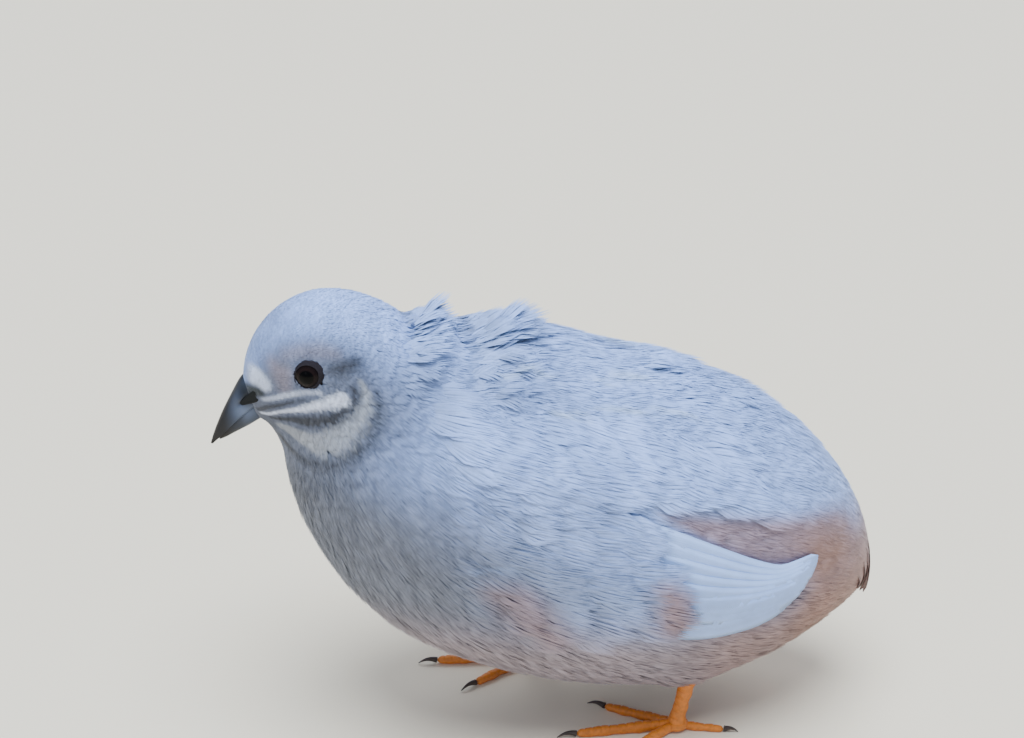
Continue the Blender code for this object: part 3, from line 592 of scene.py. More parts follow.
def contour_feather_material():
    """Soft contour feathers: loose barbs that scatter light, with a faint sheen and fine broken streaks."""
    made, tree, shader = new_material("contour_feathers")
    spots = add_node(tree, "ShaderNodeTexCoord")
    tone = add_node(tree, "ShaderNodeAttribute", {"attribute_name": "plumage"})
    mottle = add_node(
        tree, "ShaderNodeTexNoise", {"Scale": 420.0, "Detail": 4.0, "Roughness": 0.6}, {"Vector": spots.outputs["Object"]}
    )
    level = add_node(
        tree, "ShaderNodeMapRange", {"From Min": 0.3, "From Max": 0.7, "To Min": 0.88, "To Max": 1.1},
        {"Value": mottle.outputs["Fac"]},
    )
    tinted = add_node(
        tree, "ShaderNodeVectorMath", {"operation": "SCALE"},
        {0: tone.outputs["Color"], "Scale": level.outputs["Result"]},
    )
    tree.links.new(tinted.outputs["Vector"], shader.inputs["Base Color"])
    fine = add_node(
        tree, "ShaderNodeTexNoise", {"Scale": 5000.0, "Detail": 2.0}, {"Vector": spots.outputs["Object"]}
    )
    bump = add_node(
        tree, "ShaderNodeBump", {"Strength": 0.25, "Distance": 0.0001}, {"Height": fine.outputs["Fac"]}
    )
    tree.links.new(bump.outputs["Normal"], shader.inputs["Normal"])
    set_shader(shader, Roughness=0.7, Sheen_Weight=0.15, Sheen_Roughness=0.4)
    return made


def vane_material():
    """Flight feathers: close barbs zipped into a vane, each barb a fine line that runs out from the shaft."""
    made, tree, shader = new_material("flight_feathers")
    tone = add_node(tree, "ShaderNodeAttribute", {"attribute_name": "plumage"})
    where = add_node(tree, "ShaderNodeUVMap", {"uv_map": "Vane"})
    parts = add_node(tree, "ShaderNodeSeparateXYZ", {}, {"Vector": where.outputs["UV"]})
    off = add_node(tree, "ShaderNodeMath", {"operation": "ABSOLUTE"}, {0: parts.outputs["X"]})
    slant = add_node(
        tree, "ShaderNodeMath", {"operation": "MULTIPLY_ADD", 1: -0.9}, {0: off.outputs[0], 2: parts.outputs["Y"]}
    )
    lines = add_node(tree, "ShaderNodeMath", {"operation": "MULTIPLY", 1: 2 * math.pi / 0.34}, {0: slant.outputs[0]})
    wave = add_node(tree, "ShaderNodeMath", {"operation": "SINE"}, {0: lines.outputs[0]})
    spots = add_node(tree, "ShaderNodeTexCoord")
    mottle = add_node(
        tree, "ShaderNodeTexNoise", {"Scale": 300.0, "Detail": 4.0}, {"Vector": spots.outputs["Object"]}
    )
    level = add_node(
        tree, "ShaderNodeMapRange", {"From Min": 0.3, "From Max": 0.7, "To Min": 0.93, "To Max": 1.06},
        {"Value": mottle.outputs["Fac"]},
    )
    tinted = add_node(
        tree, "ShaderNodeVectorMath", {"operation": "SCALE"},
        {0: tone.outputs["Color"], "Scale": level.outputs["Result"]},
    )
    tree.links.new(tinted.outputs["Vector"], shader.inputs["Base Color"])
    bump = add_node(
        tree, "ShaderNodeBump", {"Strength": 0.3, "Distance": 0.00006}, {"Height": wave.outputs[0]}
    )
    tree.links.new(bump.outputs["Normal"], shader.inputs["Normal"])
    set_shader(shader, Roughness=0.55, Sheen_Weight=0.1)
    return made


def plain_material(name, code, roughness, scale=0.0, depth=0.0, spread=0.0, **more):
    """A skin or horn with its colour and surface broken by noise of a real grain size in millimetres."""
    made, tree, shader = new_material(name)
    shader.inputs["Base Color"].default_value = (*linear(code), 1)
    set_shader(shader, Roughness=roughness, **more)
    if scale:
        spots = add_node(tree, "ShaderNodeTexCoord")
        grain = add_node(
            tree, "ShaderNodeTexNoise", {"Scale": 1 / (scale * MM), "Detail": 5.0}, {"Vector": spots.outputs["Object"]}
        )
        bump = add_node(
            tree, "ShaderNodeBump", {"Strength": 0.5, "Distance": depth * MM}, {"Height": grain.outputs["Fac"]}
        )
        tree.links.new(bump.outputs["Normal"], shader.inputs["Normal"])
        if spread:
            level = add_node(
                tree, "ShaderNodeMapRange",
                {"From Min": 0.3, "From Max": 0.7, "To Min": 1 - spread, "To Max": 1 + spread},
                {"Value": grain.outputs["Fac"]},
            )
            tone = add_node(
                tree, "ShaderNodeVectorMath", {"operation": "SCALE", 0: linear(code)},
                {"Scale": level.outputs["Result"]},
            )
            tree.links.new(tone.outputs["Vector"], shader.inputs["Base Color"])
    return made


def finish(obj, material):
    obj.data.materials.clear()
    obj.data.materials.append(material)
    return obj


def base_tree():
    """The outline as a tree of faces that rays from the side can find."""
    rows, columns = 220, 128
    place, turn = np.meshgrid(np.linspace(0, LAST, rows), np.arange(columns) / columns * 2 * np.pi, indexing="ij")
    points = body(place, turn).reshape(-1, 3)
    faces = grid_faces(rows, columns, True)
    return BVHTree.FromPolygons([Vector(p) for p in points], faces)


TREE = base_tree()


def side_point(x, z, side):
    """The outline's surface and the way out, where a ray from one side meets it."""
    found, normal, _, _ = TREE.ray_cast(Vector((x, side * 60, z)), Vector((0, -side, 0)))
    if found is None:
        found, normal, _, _ = TREE.find_nearest(Vector((x, side * 15, z)))
    if normal.y * side < 0:
        normal = -normal
    return found, normal


def eye_place(side):
    point, _ = side_point(*EYE_AT, side)
    out = Vector((EYE_LOOK[0], side * EYE_LOOK[1], EYE_LOOK[2])).normalized()
    return point - out * EYE_SINK, out


def clear_of_eyes(place, turn, radius):
    """Which roots lie outside the lids."""
    points = form(place, turn)
    keep = np.ones(len(place), bool)
    for side in SIDES.values():
        centre, out = (np.array(v) for v in eye_place(side))
        offset = points - centre
        height = offset @ out
        away = np.linalg.norm(offset - height[:, None] * out, axis=1)
        keep &= (away > radius) | (height < 0)
    return keep


def context_object():
    return bpy.context.object


def select_only(obj):
    bpy.ops.object.select_all(action="DESELECT")
    obj.select_set(True)
    bpy.context.view_layer.objects.active = obj


class QUAIL_OT_skin(bpy.types.Operator):
    """One skin under the plumage of head, neck, trunk, tail and thighs"""

    bl_idname = "quail.skin"
    bl_label = "Skin"

    def execute(self, context):
        segments, rings, cap = 128, 200, 0.015
        bpy.ops.object.select_all(action="DESELECT")
        bpy.ops.mesh.primitive_uv_sphere_add(segments=segments, ring_count=rings, radius=1.0)
        skin = context.object
        skin.name = "skin"
        mesh = skin.data
        co = np.array([v.co for v in mesh.vertices])
        share = np.arccos(np.clip(co[:, 2], -1, 1)) / np.pi
        turn = np.arctan2(co[:, 1], co[:, 0])
        place = np.clip((share - cap) / (1 - 2 * cap), 0, 1) * LAST
        points = form(place, turn, -along_coat(COAT_DEPTH, place))
        middle = (form(place, 0 * turn, -1.0) + form(place, 0 * turn + np.pi, -1.0)) / 2
        middle[:, 1] = 0
        shrink = np.clip(np.minimum(share, 1 - share) / cap, 0, 1)[:, None]
        points = middle + (points - middle) * shrink
        for side in SIDES.values():
            centre, out = (np.array(v) for v in eye_place(side))
            offset = points - centre
            height = offset @ out
            away = np.linalg.norm(offset - height[:, None] * out, axis=1)
            dent = (1 - ease(2.1, 2.5, away)) * (height > 0)
            points -= out * (dent * np.maximum(height - 0.6, 0))[:, None]
        mesh.vertices.foreach_set("co", packed(points).astype(np.float32).ravel())
        mesh.update()
        mesh.shade_smooth()
        mesh.uv_layers[0].name = "OFBake"
        bpy.ops.object.mode_set(mode="EDIT")
        bpy.ops.mesh.select_all(action="SELECT")
        bpy.ops.mesh.normals_make_consistent(inside=False)
        bpy.ops.object.mode_set(mode="OBJECT")
        tone = plumage(form(place, turn), place, turn, context.scene.quail_colours)
        paint(mesh, blend(tone, DOWN_GREY, 0.1 + 0.4 * ease(4.5, 8.0, place)))
        finish(skin, bpy.data.materials["contour_feathers"])
        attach(skin, "root")
        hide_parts("head", "neck", "torso", "tail", "thigh_left", "thigh_right")
        return {"FINISHED"}


# The coat's pieces: first and last place, barbs to a feather.
COAT_PIECES = (
    ("coat_face", 0.02, 3.4, 5),
    ("coat_crown", 3.4, 5.4, 6),
    ("coat_neck", 5.4, 7.6, 9),
    ("coat_mantle", 7.6, 9.2, 14),
    ("coat_shoulders", 9.2, 10.6, 15),
    ("coat_breast", 10.6, 12.0, 15),
    ("coat_middle", 12.0, 13.4, 15),
    ("coat_rump", 13.4, 15.0, 15),
    ("coat_vent", 15.0, 17.9, 13),
)


class QUAIL_OT_coat(bpy.types.Operator):
    """Contour feathers over the head and body, in pieces from the face to the vent"""

    bl_idname = "quail.coat"
    bl_label = "Coat"

    def execute(self, context):
        sizes, colours = context.scene.quail_sizes, context.scene.quail_colours
        draw = np.random.default_rng(11)
        for name, first, last, barbs in COAT_PIECES:
            place, turn = coat_roots(first, last, draw)
            keep = clear_of_eyes(place, turn, sizes.lid_opening / MM + 0.3)
            place, turn = place[keep], turn[keep]
            length = along_coat(COAT_LENGTH, place) * draw.uniform(0.85, 1.15, len(place)) * sizes.coat_length
            half = along_coat(COAT_WIDTH, place)
            depth = along_coat(COAT_DEPTH, place)
            lift = draw.uniform(-0.3, 1.0, len(place)) * sizes.coat_lift / MM * np.minimum(length, 4) / 2
            standing = ruffle(place, turn)
            lie = draw.normal(0, 0.32, len(place)) * np.minimum(standing / 1.5, 1)
            lift += standing * draw.uniform(0.4, 1.15, len(place)) - under_quills(form(place, turn))
            high = (length, half, -1.12 * depth, lift)
            piece = feathers(name, (place, turn), high, barbs, 2, draw, colours, lie)
            finish(piece, bpy.data.materials["contour_feathers"])
        return {"FINISHED"}


def under_quills(points):
    """Which roots lie under the folded primaries."""
    x, z = points[:, 0], points[:, 2]
    top = np.interp(x, *zip(*QUILL_TOP))
    foot = np.interp(x, *zip(*QUILL_FOOT))
    return ease(13, 19, x) * ease(37, 33, x) * ease(foot, foot + 2, z) * ease(top - 1, top - 3, z)


def ruffle(place, turn):
    lift = np.zeros(len(place))
    for centre, spread, degrees, width, height in RUFFLES:
        away = ((place - centre) / spread) ** 2 + ((np.degrees(turn) - degrees) / width) ** 2
        lift += height * (0.75 + 0.25 * np.cos(9 * turn + 0.5)) * np.exp(-away)
    return lift


def leaf_spread(share, widest, root):
    """A vane's width along its length as a share of its widest."""
    before = root + (1 - root) * np.sin(np.pi / 2 * np.clip(share / widest, 0, 1))
    after = np.sqrt(np.maximum(1 - np.clip((share - widest) / (1 - widest), 0, 1) ** 2.2, 0.0))
    return np.where(share < widest, before, after)


LEAF_COLUMNS = (-1.0, -0.5, 0.0, 0.5, 1.0)


def leaf(points, outs, half, lift, thickness, camber):
    """One vane: a closed leaf of rings of eight points, its first edge lifted off what lies below."""
    rows = len(points)
    share = np.linspace(0, 1, rows)
    travel = unit(np.gradient(points, axis=0))
    aside = unit(np.cross(outs, travel))
    spread = np.maximum(leaf_spread(share, 0.62, 0.55), 0.05)
    ramp = np.clip(share / 0.35, 0, 1)
    top, under = [], []
    for column in LEAF_COLUMNS:
        height = camber * (1 - column * column) * spread + lift * (1 - column) / 2 * ramp * spread
        edge = points + aside * (column * half * spread)[:, None] + outs * height[:, None]
        top.append(edge)
        if abs(column) < 1:
            under.append(edge - outs * (thickness * (1 - 0.5 * share))[:, None])
    ring = np.stack(top + under[::-1], 1)
    columns = ring.shape[1]
    faces = grid_faces(rows, columns, True) + fan_faces(0, columns, False)
    faces += fan_faces((rows - 1) * columns, columns, True)
    across = np.array(LEAF_COLUMNS + tuple(c for c in LEAF_COLUMNS[::-1] if abs(c) < 1))
    return ring.reshape(-1, 3), np.array(faces), np.tile(across, rows) * half, np.repeat(share, columns)


def outward(points, faces):
    """Faces turned to point out of a closed shape."""
    a, b, c = (points[faces[:, k]] for k in range(3))
    volume = (np.cross(a, b) * c).sum()
    return faces if volume > 0 else faces[:, ::-1]


def leaves(name, vanes, paint_vane):
    """Joins vanes into one piece. Each vane is (points, outs, half, lift, thickness, camber, key)."""
    points, faces, vane_map, tones, cells = [], [], [], [], []
    total = 0
    side = math.ceil(math.sqrt(len(vanes)))
    for i, (line, outs, half, lift, thickness, camber, key) in enumerate(vanes):
        p, f, across, share = leaf(line, outs, half, lift, thickness, camber)
        length = np.linalg.norm(np.diff(line, axis=0), axis=1).sum()
        points.append(p)
        faces.append(outward(p, f) + total)
        total += len(p)
        vane_map.append(np.stack([across, share * length], 1))
        tones.append(paint_vane(p, across / half, share, key))
        corner = np.array([i % side, i // side]) / side
        cells.append(corner + np.stack([0.5 + 0.4 * across / half, 0.08 + 0.84 * share], 1) / side)
    mesh = triangle_mesh(name, np.concatenate(points), np.concatenate(faces))
    paint(mesh, np.concatenate(tones))
    add_map(mesh, "OFBake", np.concatenate(cells))
    add_map(mesh, "Vane", np.concatenate(vane_map))
    return finish(new_object(name, mesh), bpy.data.materials["flight_feathers"])


def bend_line(points, rows):
    share = np.linspace(0, 1, rows)[:, None]
    first, middle, last = (np.array(p, float) for p in points)
    return first * (1 - share) ** 2 + middle * 2 * share * (1 - share) + last * share**2


# The upper and lower edges (x, z) of the folded primaries, from where they leave the coverts to their tips.
QUILL_TOP = ((2.0, 47.0), (12.5, 43.9), (21.5, 39.0), (28.5, 34.4), (33.0, 32.0), (36.8, 32.0), (40.0, 32.6))
QUILL_FOOT = ((2.0, 30.0), (12.5, 24.6), (21.0, 22.9), (28.0, 23.6), (33.0, 24.9), (37.0, 26.2), (40.2, 29.0))
QUILLS, QUILL_HALF = 9, 2.1


def quill_vanes(side, rows, draw):
    """The folded primaries, fanned out between their two edges and drawn together at their tips."""
    top, foot = (np.array(edge) for edge in (QUILL_TOP, QUILL_FOOT))
    vanes = []
    for k in range(QUILLS):
        rank = k / (QUILLS - 1)
        inset = 0.09 + 0.82 * rank
        spots = foot + (top - foot) * inset
        retreat = 1.35 * (1 - rank) ** 2 + abs(draw.normal(0, 0.07))
        line = curve(spots, np.linspace(0, len(spots) - 1 - retreat, rows))
        found = [side_point(x, z, side) for x, z in line]
        outs = np.array([n for _, n in found])
        outs = unit(outs + np.roll(outs, 1, 0) + np.roll(outs, -1, 0))
        outs[0], outs[-1] = outs[1], outs[-2]
        share = np.linspace(0, 1, rows)
        heights = 0.4 - 0.15 * share - 2.0 * (1 - ease(0.0, 0.32, share)) + wing_rise(line[:, (0, 0, 1)])
        points = np.array([p for p, _ in found]) + outs * heights[:, None]
        vanes.append((points, outs, QUILL_HALF * side, 0.3, 0.12, 0.1, rank))
    return vanes


# Rows of long soft wing feathers: where the tips lie (x, z), how far back the roots lie at the row's two ends,
# how many, half width, heights off the outline of root and tip, and how pale.
SHOULDER_EDGE = (
    (-9.0, 52.8), (-3.7, 51.0), (2.1, 48.8), (7.9, 47.0), (13.0, 46.4), (17.0, 46.2), (21.0, 45.2), (25.2, 44.0),
    (30.0, 42.4), (34.9, 40.0), (39.0, 37.4),
)


def shifted(line, x, z):
    return tuple((px + x, pz + z) for px, pz in line)


FEATHER_ROWS = (
    (((17.5, 41.0), (15.5, 33.0)), (10.5, -5.0), (10.5, -3.3), 6, 2.3, -0.5, 1.0, 1.02),
    (((12.0, 43.6), (10.5, 31.5)), (10.5, -4.6), (10.5, -3.0), 7, 2.3, -0.6, 0.95, 1.01),
    (((6.0, 46.0), (4.8, 33.0)), (10.5, -4.4), (10.5, -3.0), 8, 2.3, -0.8, 0.85, 1.0),
    (((0.0, 48.4), (-1.2, 35.2)), (9.5, -3.6), (9.5, -3.8), 8, 2.3, -1.0, 0.7, 1.0),
    (((-6.0, 50.6), (-7.4, 37.8)), (8.5, -3.0), (8.5, -4.5), 8, 2.2, -1.3, 0.5, 0.99),
    (((-11.5, 52.6), (-13.0, 41.0)), (7.0, -2.3), (7.0, -4.1), 8, 2.0, -1.5, 0.3, 0.99),
    (((16.5, 36.0), (18.7, 34.2), (20.6, 31.6), (21.2, 29.0), (20.8, 26.6), (19.4, 24.6), (16.6, 23.4)),
     (11.0, -1.8), (10.0, -4.0), 13, 2.2, -0.5, 1.3, 1.0),
    (((8.5, 36.5), (12.2, 33.0), (13.6, 28.6), (12.6, 24.6), (9.6, 21.6)),
     (11.0, -2.0), (10.5, -4.5), 12, 2.3, -0.7, 1.1, 1.0),
    (((1.0, 35.5), (4.6, 31.4), (5.6, 27.0), (4.6, 22.8), (1.8, 19.6)),
     (11.0, -3.0), (10.0, -5.0), 12, 2.3, -1.0, 0.8, 1.0),
    (((-6.5, 37.4), (-3.0, 32.6), (-2.0, 28.0), (-3.4, 23.4)), (9.5, -3.5), (9.0, -5.4), 10, 2.2, -1.4, 0.5, 1.0),
    (((-14.0, 37.4), (-10.5, 32.6), (-9.5, 28.0), (-10.4, 24.0)), (8.0, -3.8), (8.0, -5.2), 9, 2.1, -1.9, 0.25, 1.0),
    (SHOULDER_EDGE, (9.5, -3.2), (12.5, -6.4), 19, 2.5, -0.6, 1.0, 1.0),
    (shifted(SHOULDER_EDGE, -1.5, 2.9), (9.5, -2.7), (12.5, -6.6), 18, 2.5, -0.8, 0.95, 1.0),
    (shifted(SHOULDER_EDGE, -3.5, 5.8), (9.5, -2.3), (12.5, -6.8), 17, 2.5, -1.1, 0.8, 1.0),
    (shifted(SHOULDER_EDGE, -4.5, 8.8), (9.0, -1.6), (12.5, -6.6), 16, 2.5, -1.6, 0.5, 1.0),
)
ROW_BARBS = 21


def feather_row(row, side, draw):
    """Roots, lengths and lies of one row of wing feathers."""
    tips, first, last, count, half, low, high, tint = row
    tips = np.array(tips)
    steps = np.concatenate([[0], np.cumsum(np.linalg.norm(np.diff(tips, axis=0), axis=1))])
    share = np.clip((np.arange(count) + 0.5 + draw.normal(0, 0.12, count)) / count, 0, 1)
    tip = np.stack([np.interp(share * steps[-1], steps, tips[:, k]) for k in (0, 1)], 1)
    reach = np.array(first) + (np.array(last) - np.array(first)) * share[:, None]
    tip = tip + reach * draw.normal(0, 0.09, count)[:, None]
    reach = reach * draw.uniform(0.85, 1.1, count)[:, None]
    root = tip - reach
    place, turn = locate(root[:, 0], root[:, 1], side)
    lie = lie_towards(place, turn, reach[:, 0], reach[:, 1])
    length = np.linalg.norm(reach, axis=1)
    size = (length, np.full(count, half), np.full(count, low), high + draw.normal(0, 0.08, count))
    return place, turn, lie, np.stack(size), np.full(count, tint)


def locate(x, z, side):
    """The place and turn whose point on the outline, seen from one side, lies at x and z."""
    places, turns = np.meshgrid(np.linspace(0.5, LAST - 0.5, 176), np.linspace(0.05, 3.09, 120))
    grid = form(places, turns)[..., (0, 2)].reshape(-1, 2)
    spots = np.stack([x, z], -1)
    near = np.argmin(((spots[:, None] - grid[None]) ** 2).sum(-1), 1)
    place, turn = places.ravel()[near], turns.ravel()[near]
    for _ in range(4):
        a, b = solve_side(place, turn, spots - form(place, turn)[:, (0, 2)])
        place, turn = place + np.clip(a, -0.3, 0.3), turn + np.clip(b, -0.1, 0.1)
    return place, -side * turn


def solve_side(place, turn, step):
    """How far to go in place and turn for a step in x and z."""
    along, around, _ = tangents(place, turn)
    scale = along[:, 0] * around[:, 2] - along[:, 2] * around[:, 0]
    a = (step[:, 0] * around[:, 2] - step[:, 1] * around[:, 0]) / scale
    b = (along[:, 0] * step[:, 1] - along[:, 2] * step[:, 0]) / scale
    return a, b


def lie_towards(place, turn, dx, dz):
    """The angle from the body's own lie to a direction seen from the side."""
    along, around, out = tangents(place, turn)
    a, b = solve_side(place, turn, np.stack([dx, dz], 1))
    way = along * a[:, None] + around * b[:, None]
    forward = unit(along)
    return np.arctan2((way * np.cross(out, forward)).sum(1), (way * forward).sum(1))


def paint_quills(colours):
    def tone(points, across, share, rank):
        base = np.broadcast_to(np.array(colours.quill), points.shape).copy()
        base = base * (1 - 0.08 * np.exp(-((across / 0.1) ** 2)))[:, None]
        base = blend(base, (0.7, 0.78, 0.9), 0.15 * ease(0.5, 1.0, across * -1.0))
        return base * (0.95 + 0.06 * rank)

    return tone


class QUAIL_OT_wings(bpy.types.Operator):
    """Folded wings: primaries as close vanes, and rows of long soft coverts, scapulars and flank feathers"""

    bl_idname = "quail.wings"
    bl_label = "Wings"

    def execute(self, context):
        sizes, colours = context.scene.quail_sizes, context.scene.quail_colours
        for name, side in SIDES.items():
            draw = np.random.default_rng(5 if side < 0 else 6)
            wing = leaves("primaries_" + name, quill_vanes(side, sizes.wing_barbs, draw), paint_quills(colours))
            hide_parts("wing_" + name)
            found = [feather_row(row, side, draw) for row in FEATHER_ROWS]
            place, turn, lie, size, tint = (np.concatenate(part, -1) for part in zip(*found))
            soft = feathers(
                "wing_coverts_" + name, (place, turn), tuple(size), ROW_BARBS, 3, draw, colours, lie, tint
            )
            finish(soft, bpy.data.materials["contour_feathers"])
            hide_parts("wing_" + name)
        return {"FINISHED"}


class QUAIL_OT_tail(bpy.types.Operator):
    """Short drooping tail feathers under their coverts"""

    bl_idname = "quail.tail"
    bl_label = "Tail"

    def execute(self, context):
        colours = context.scene.quail_colours
        rows = 12
        draw = np.random.default_rng(8)
        vanes = []
        for pair in range(4):
            for side in (-1, 1):
                turn = -side * math.radians(6 + 20 * pair)
                share = np.linspace(0, 1, rows)
                ends = []
                for place, height in ((16.3, -1.2), (17.5, 1.75)):
                    ends.append(body(np.array([place]), np.array([turn]), height + (0.55 if pair == 0 and height > 0 else 0))[0])
                tip = np.array((51.0, 0.8 * side, 16.6)) + np.array((-0.8, 0.9 * side, 0.9)) * pair
                line = bend_line((*ends, tip), rows)
                _, _, out = tangents(np.array([16.8]), np.array([turn]))
                outs = np.repeat(out, rows, 0)
                vanes.append((line, outs, -2.2 * side, 0.2 if pair else 0.0, 0.14, 0.1 if pair else 0.2, pair))

        def tone(points, across, share, key):
            base = np.broadcast_to(np.array(colours.rump), points.shape)
            return blend(base, colours.belly, 0.3 + 0.4 * ease(0.6, 1.0, np.abs(across)))

        tail = leaves("tail_feathers", vanes, tone)
        return {"FINISHED"}


def sweep(points, radii, segments, flat=1.0, up=(0, 0, 1)):
    """Rings of points along a line, each with its own radius, and closed ends. Radii may vary round the ring."""
    points = np.asarray(points, float)
    rows = len(points)
    travel = unit(np.gradient(points, axis=0))
    side = unit(np.cross(travel, np.array(up, float)))
    over = np.cross(side, travel)
    angle = np.arange(segments) / segments * 2 * np.pi
    radii = np.asarray(radii, float)
    if radii.ndim == 1:
        radii = np.repeat(radii[:, None], segments, 1)
    ring = side[:, None] * np.cos(angle)[None, :, None] + over[:, None] * (flat * np.sin(angle))[None, :, None]
    ring = points[:, None] + ring * radii[..., None]
    faces = grid_faces(rows, segments, True) + fan_faces(0, segments, False)
    faces += fan_faces((rows - 1) * segments, segments, True)
    return ring.reshape(-1, 3), np.array(faces)


def join(name, shapes):
    points, faces, total = [], [], 0
    for p, f in shapes:
        points.append(p)
        faces.append(outward(p, f) + total)
        total += len(p)
    return triangle_mesh(name, np.concatenate(points), np.concatenate(faces))


# Where the lids' front and back corners lie, as angles up from straight ahead.
LID_CORNER, LID_BACK = -0.62, 2.5
LID_WIDTH = 0.95


class QUAIL_OT_eyes(bpy.types.Operator):
    """Dark wet eyes and the lids round them"""

    bl_idname = "quail.eyes"
    bl_label = "Eyes and lids"

    def execute(self, context):
        sizes = context.scene.quail_sizes
        for name, side in SIDES.items():
            centre, out = eye_place(side)
            bpy.ops.object.select_all(action="DESELECT")
            bpy.ops.mesh.primitive_uv_sphere_add(segments=64, ring_count=40, radius=sizes.eye_radius)
            eye = context.object
            eye.name = "eyeball_" + name
            turn = out.to_track_quat("Z", "Y").to_matrix().to_4x4()
            ring = np.array([v.co for v in eye.data.vertices]) / MM
            away = np.linalg.norm(ring[:, :2], axis=1)
            ring[:, 2] += (ring[:, 2] > 0) * 0.28 * np.exp(-((away / 1.5) ** 2))
            eye.data.vertices.foreach_set("co", (ring * MM).astype(np.float32).ravel())
            layer = eye.data.attributes.new("pupil", "FLOAT", "POINT")
            layer.data.foreach_set("value", np.where(ring[:, 2] > 0, away, 9.0).astype(np.float32))
            place = Matrix.Translation(Vector(packed(np.array(centre))))
            eye.data.transform(place @ turn)
            eye.data.shade_smooth()
            finish(eye, bpy.data.materials["eye"])
            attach(eye, "root")
            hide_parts("eye_" + name)
            self.lid(name, side, centre, out, sizes)
        return {"FINISHED"}

    def lid(self, name, side, centre, out, sizes):
        columns, rows, opening = 40, 96, sizes.lid_opening / MM
        angle = np.arange(rows)[:, None] / rows * 2 * np.pi
        turn = np.array(out.to_track_quat("Z", "Y").to_matrix())
        across = np.concatenate([np.cos(angle), np.sin(angle), 0 * angle], 1) @ turn.T
        tilt = np.arctan2(across[:, 2], -across[:, 0])
        corner = np.exp(-(((tilt - LID_CORNER) / 0.4) ** 2)) + 0.3 * np.exp(-((np.abs(tilt - LID_BACK) / 0.5) ** 2))
        section = np.arange(columns)[None, :] / columns * 2 * np.pi
        lip = opening + LID_WIDTH * (1 + np.cos(section)) / 2
        reach = lip * (0.97 + 0.13 * corner[:, None])
        folds = 0.09 * np.exp(-(((lip - opening - 0.13) / 0.1) ** 2)) + 0.05 * np.exp(-(((lip - opening - 0.38) / 0.08) ** 2))
        folds = folds * (1 + 0.25 * np.sin(angle * 23) + 0.2 * np.sin(angle * 11 + 1)) * (np.sin(section) > 0)
        height = np.sqrt((sizes.eye_radius / MM) ** 2 - lip**2) + 0.17 * np.sin(section) + folds
        ring = np.stack([np.cos(angle) * reach, np.sin(angle) * reach, height], -1).reshape(-1, 3)
        faces = np.array(grid_faces(rows + 1, columns, True)) % (rows * columns)
        mesh = join("lids_" + name, [(ring @ turn.T + np.array(centre), faces)])
        lids = finish(new_object("lids_" + name, mesh), bpy.data.materials["lid_skin"])


BILL_UPPER = (
    ((-44.4, 61.3), (-43.2, 57.3), 3.5),
    ((-45.75, 60.25), (-44.35, 56.3), 2.65),
    ((-47.3, 57.5), (-46.0, 54.5), 1.95),
    ((-48.6, 54.9), (-47.4, 52.9), 1.5),
    ((-49.7, 52.3), (-48.8, 51.3), 1.0),
    ((-50.3, 50.6), (-49.75, 50.2), 0.5),
    ((-50.6, 49.6), (-50.35, 49.5), 0.2),
)
BILL_LOWER = (
    ((-42.9, 57.4), (-41.6, 54.4), 2.2),
    ((-44.9, 55.7), (-44.2, 52.8), 2.1),
    ((-46.0, 54.6), (-45.4, 52.1), 1.75),
    ((-47.3, 53.0), (-46.9, 51.3), 1.25),
    ((-48.4, 51.7), (-48.1, 50.6), 0.75),
    ((-49.3, 50.6), (-49.2, 50.1), 0.25),
)


def bill_half(rows_in, opening):
    """One half of the bill as a loft of D sections, rounded over the ridge and nearly flat at the cutting edge."""
    table = []
    for first, second, half in rows_in:
        edge, outer = (second, first) if opening < 0 else (first, second)
        table.append((*edge, *outer, half))
    table = np.array(table)
    rows, arc = 60, 40
    line = curve(table, np.linspace(0, len(table) - 1, rows))
    rings = []
    for ex, ez, ox, oz, half in line:
        edge, outer = np.array([ex, 0, ez]), np.array([ox, 0, oz])
        angle = np.linspace(-np.pi / 2, np.pi / 2, arc)
        ridge = np.cos(angle) ** 0.85
        wall = edge + (outer - edge) * ridge[:, None] + np.array([0, 1, 0]) * (half * np.sin(angle))[:, None]
        under = np.linspace(1, -1, 9)[1:-1]
        inner = edge + np.array([0, 1, 0]) * (half * under)[:, None] + (outer - edge) * 0.08 * (1 - under**2)[:, None]
        rings.append(np.concatenate([wall, inner]))
    rings = np.array(rings)
    columns = rings.shape[1]
    faces = grid_faces(rows, columns, True) + fan_faces(0, columns, False)
    faces += fan_faces((rows - 1) * columns, columns, True)
    return rings.reshape(-1, 3), np.array(faces)


NOSTRIL = (-45.75, 57.75)
# The nostril flap's ends: on the bill (x, y, z on the right) and on the face (x, z).
FLAP_FRONT, FLAP_BACK = (-46.1, 1.55, 56.9), (-42.9, 60.2)


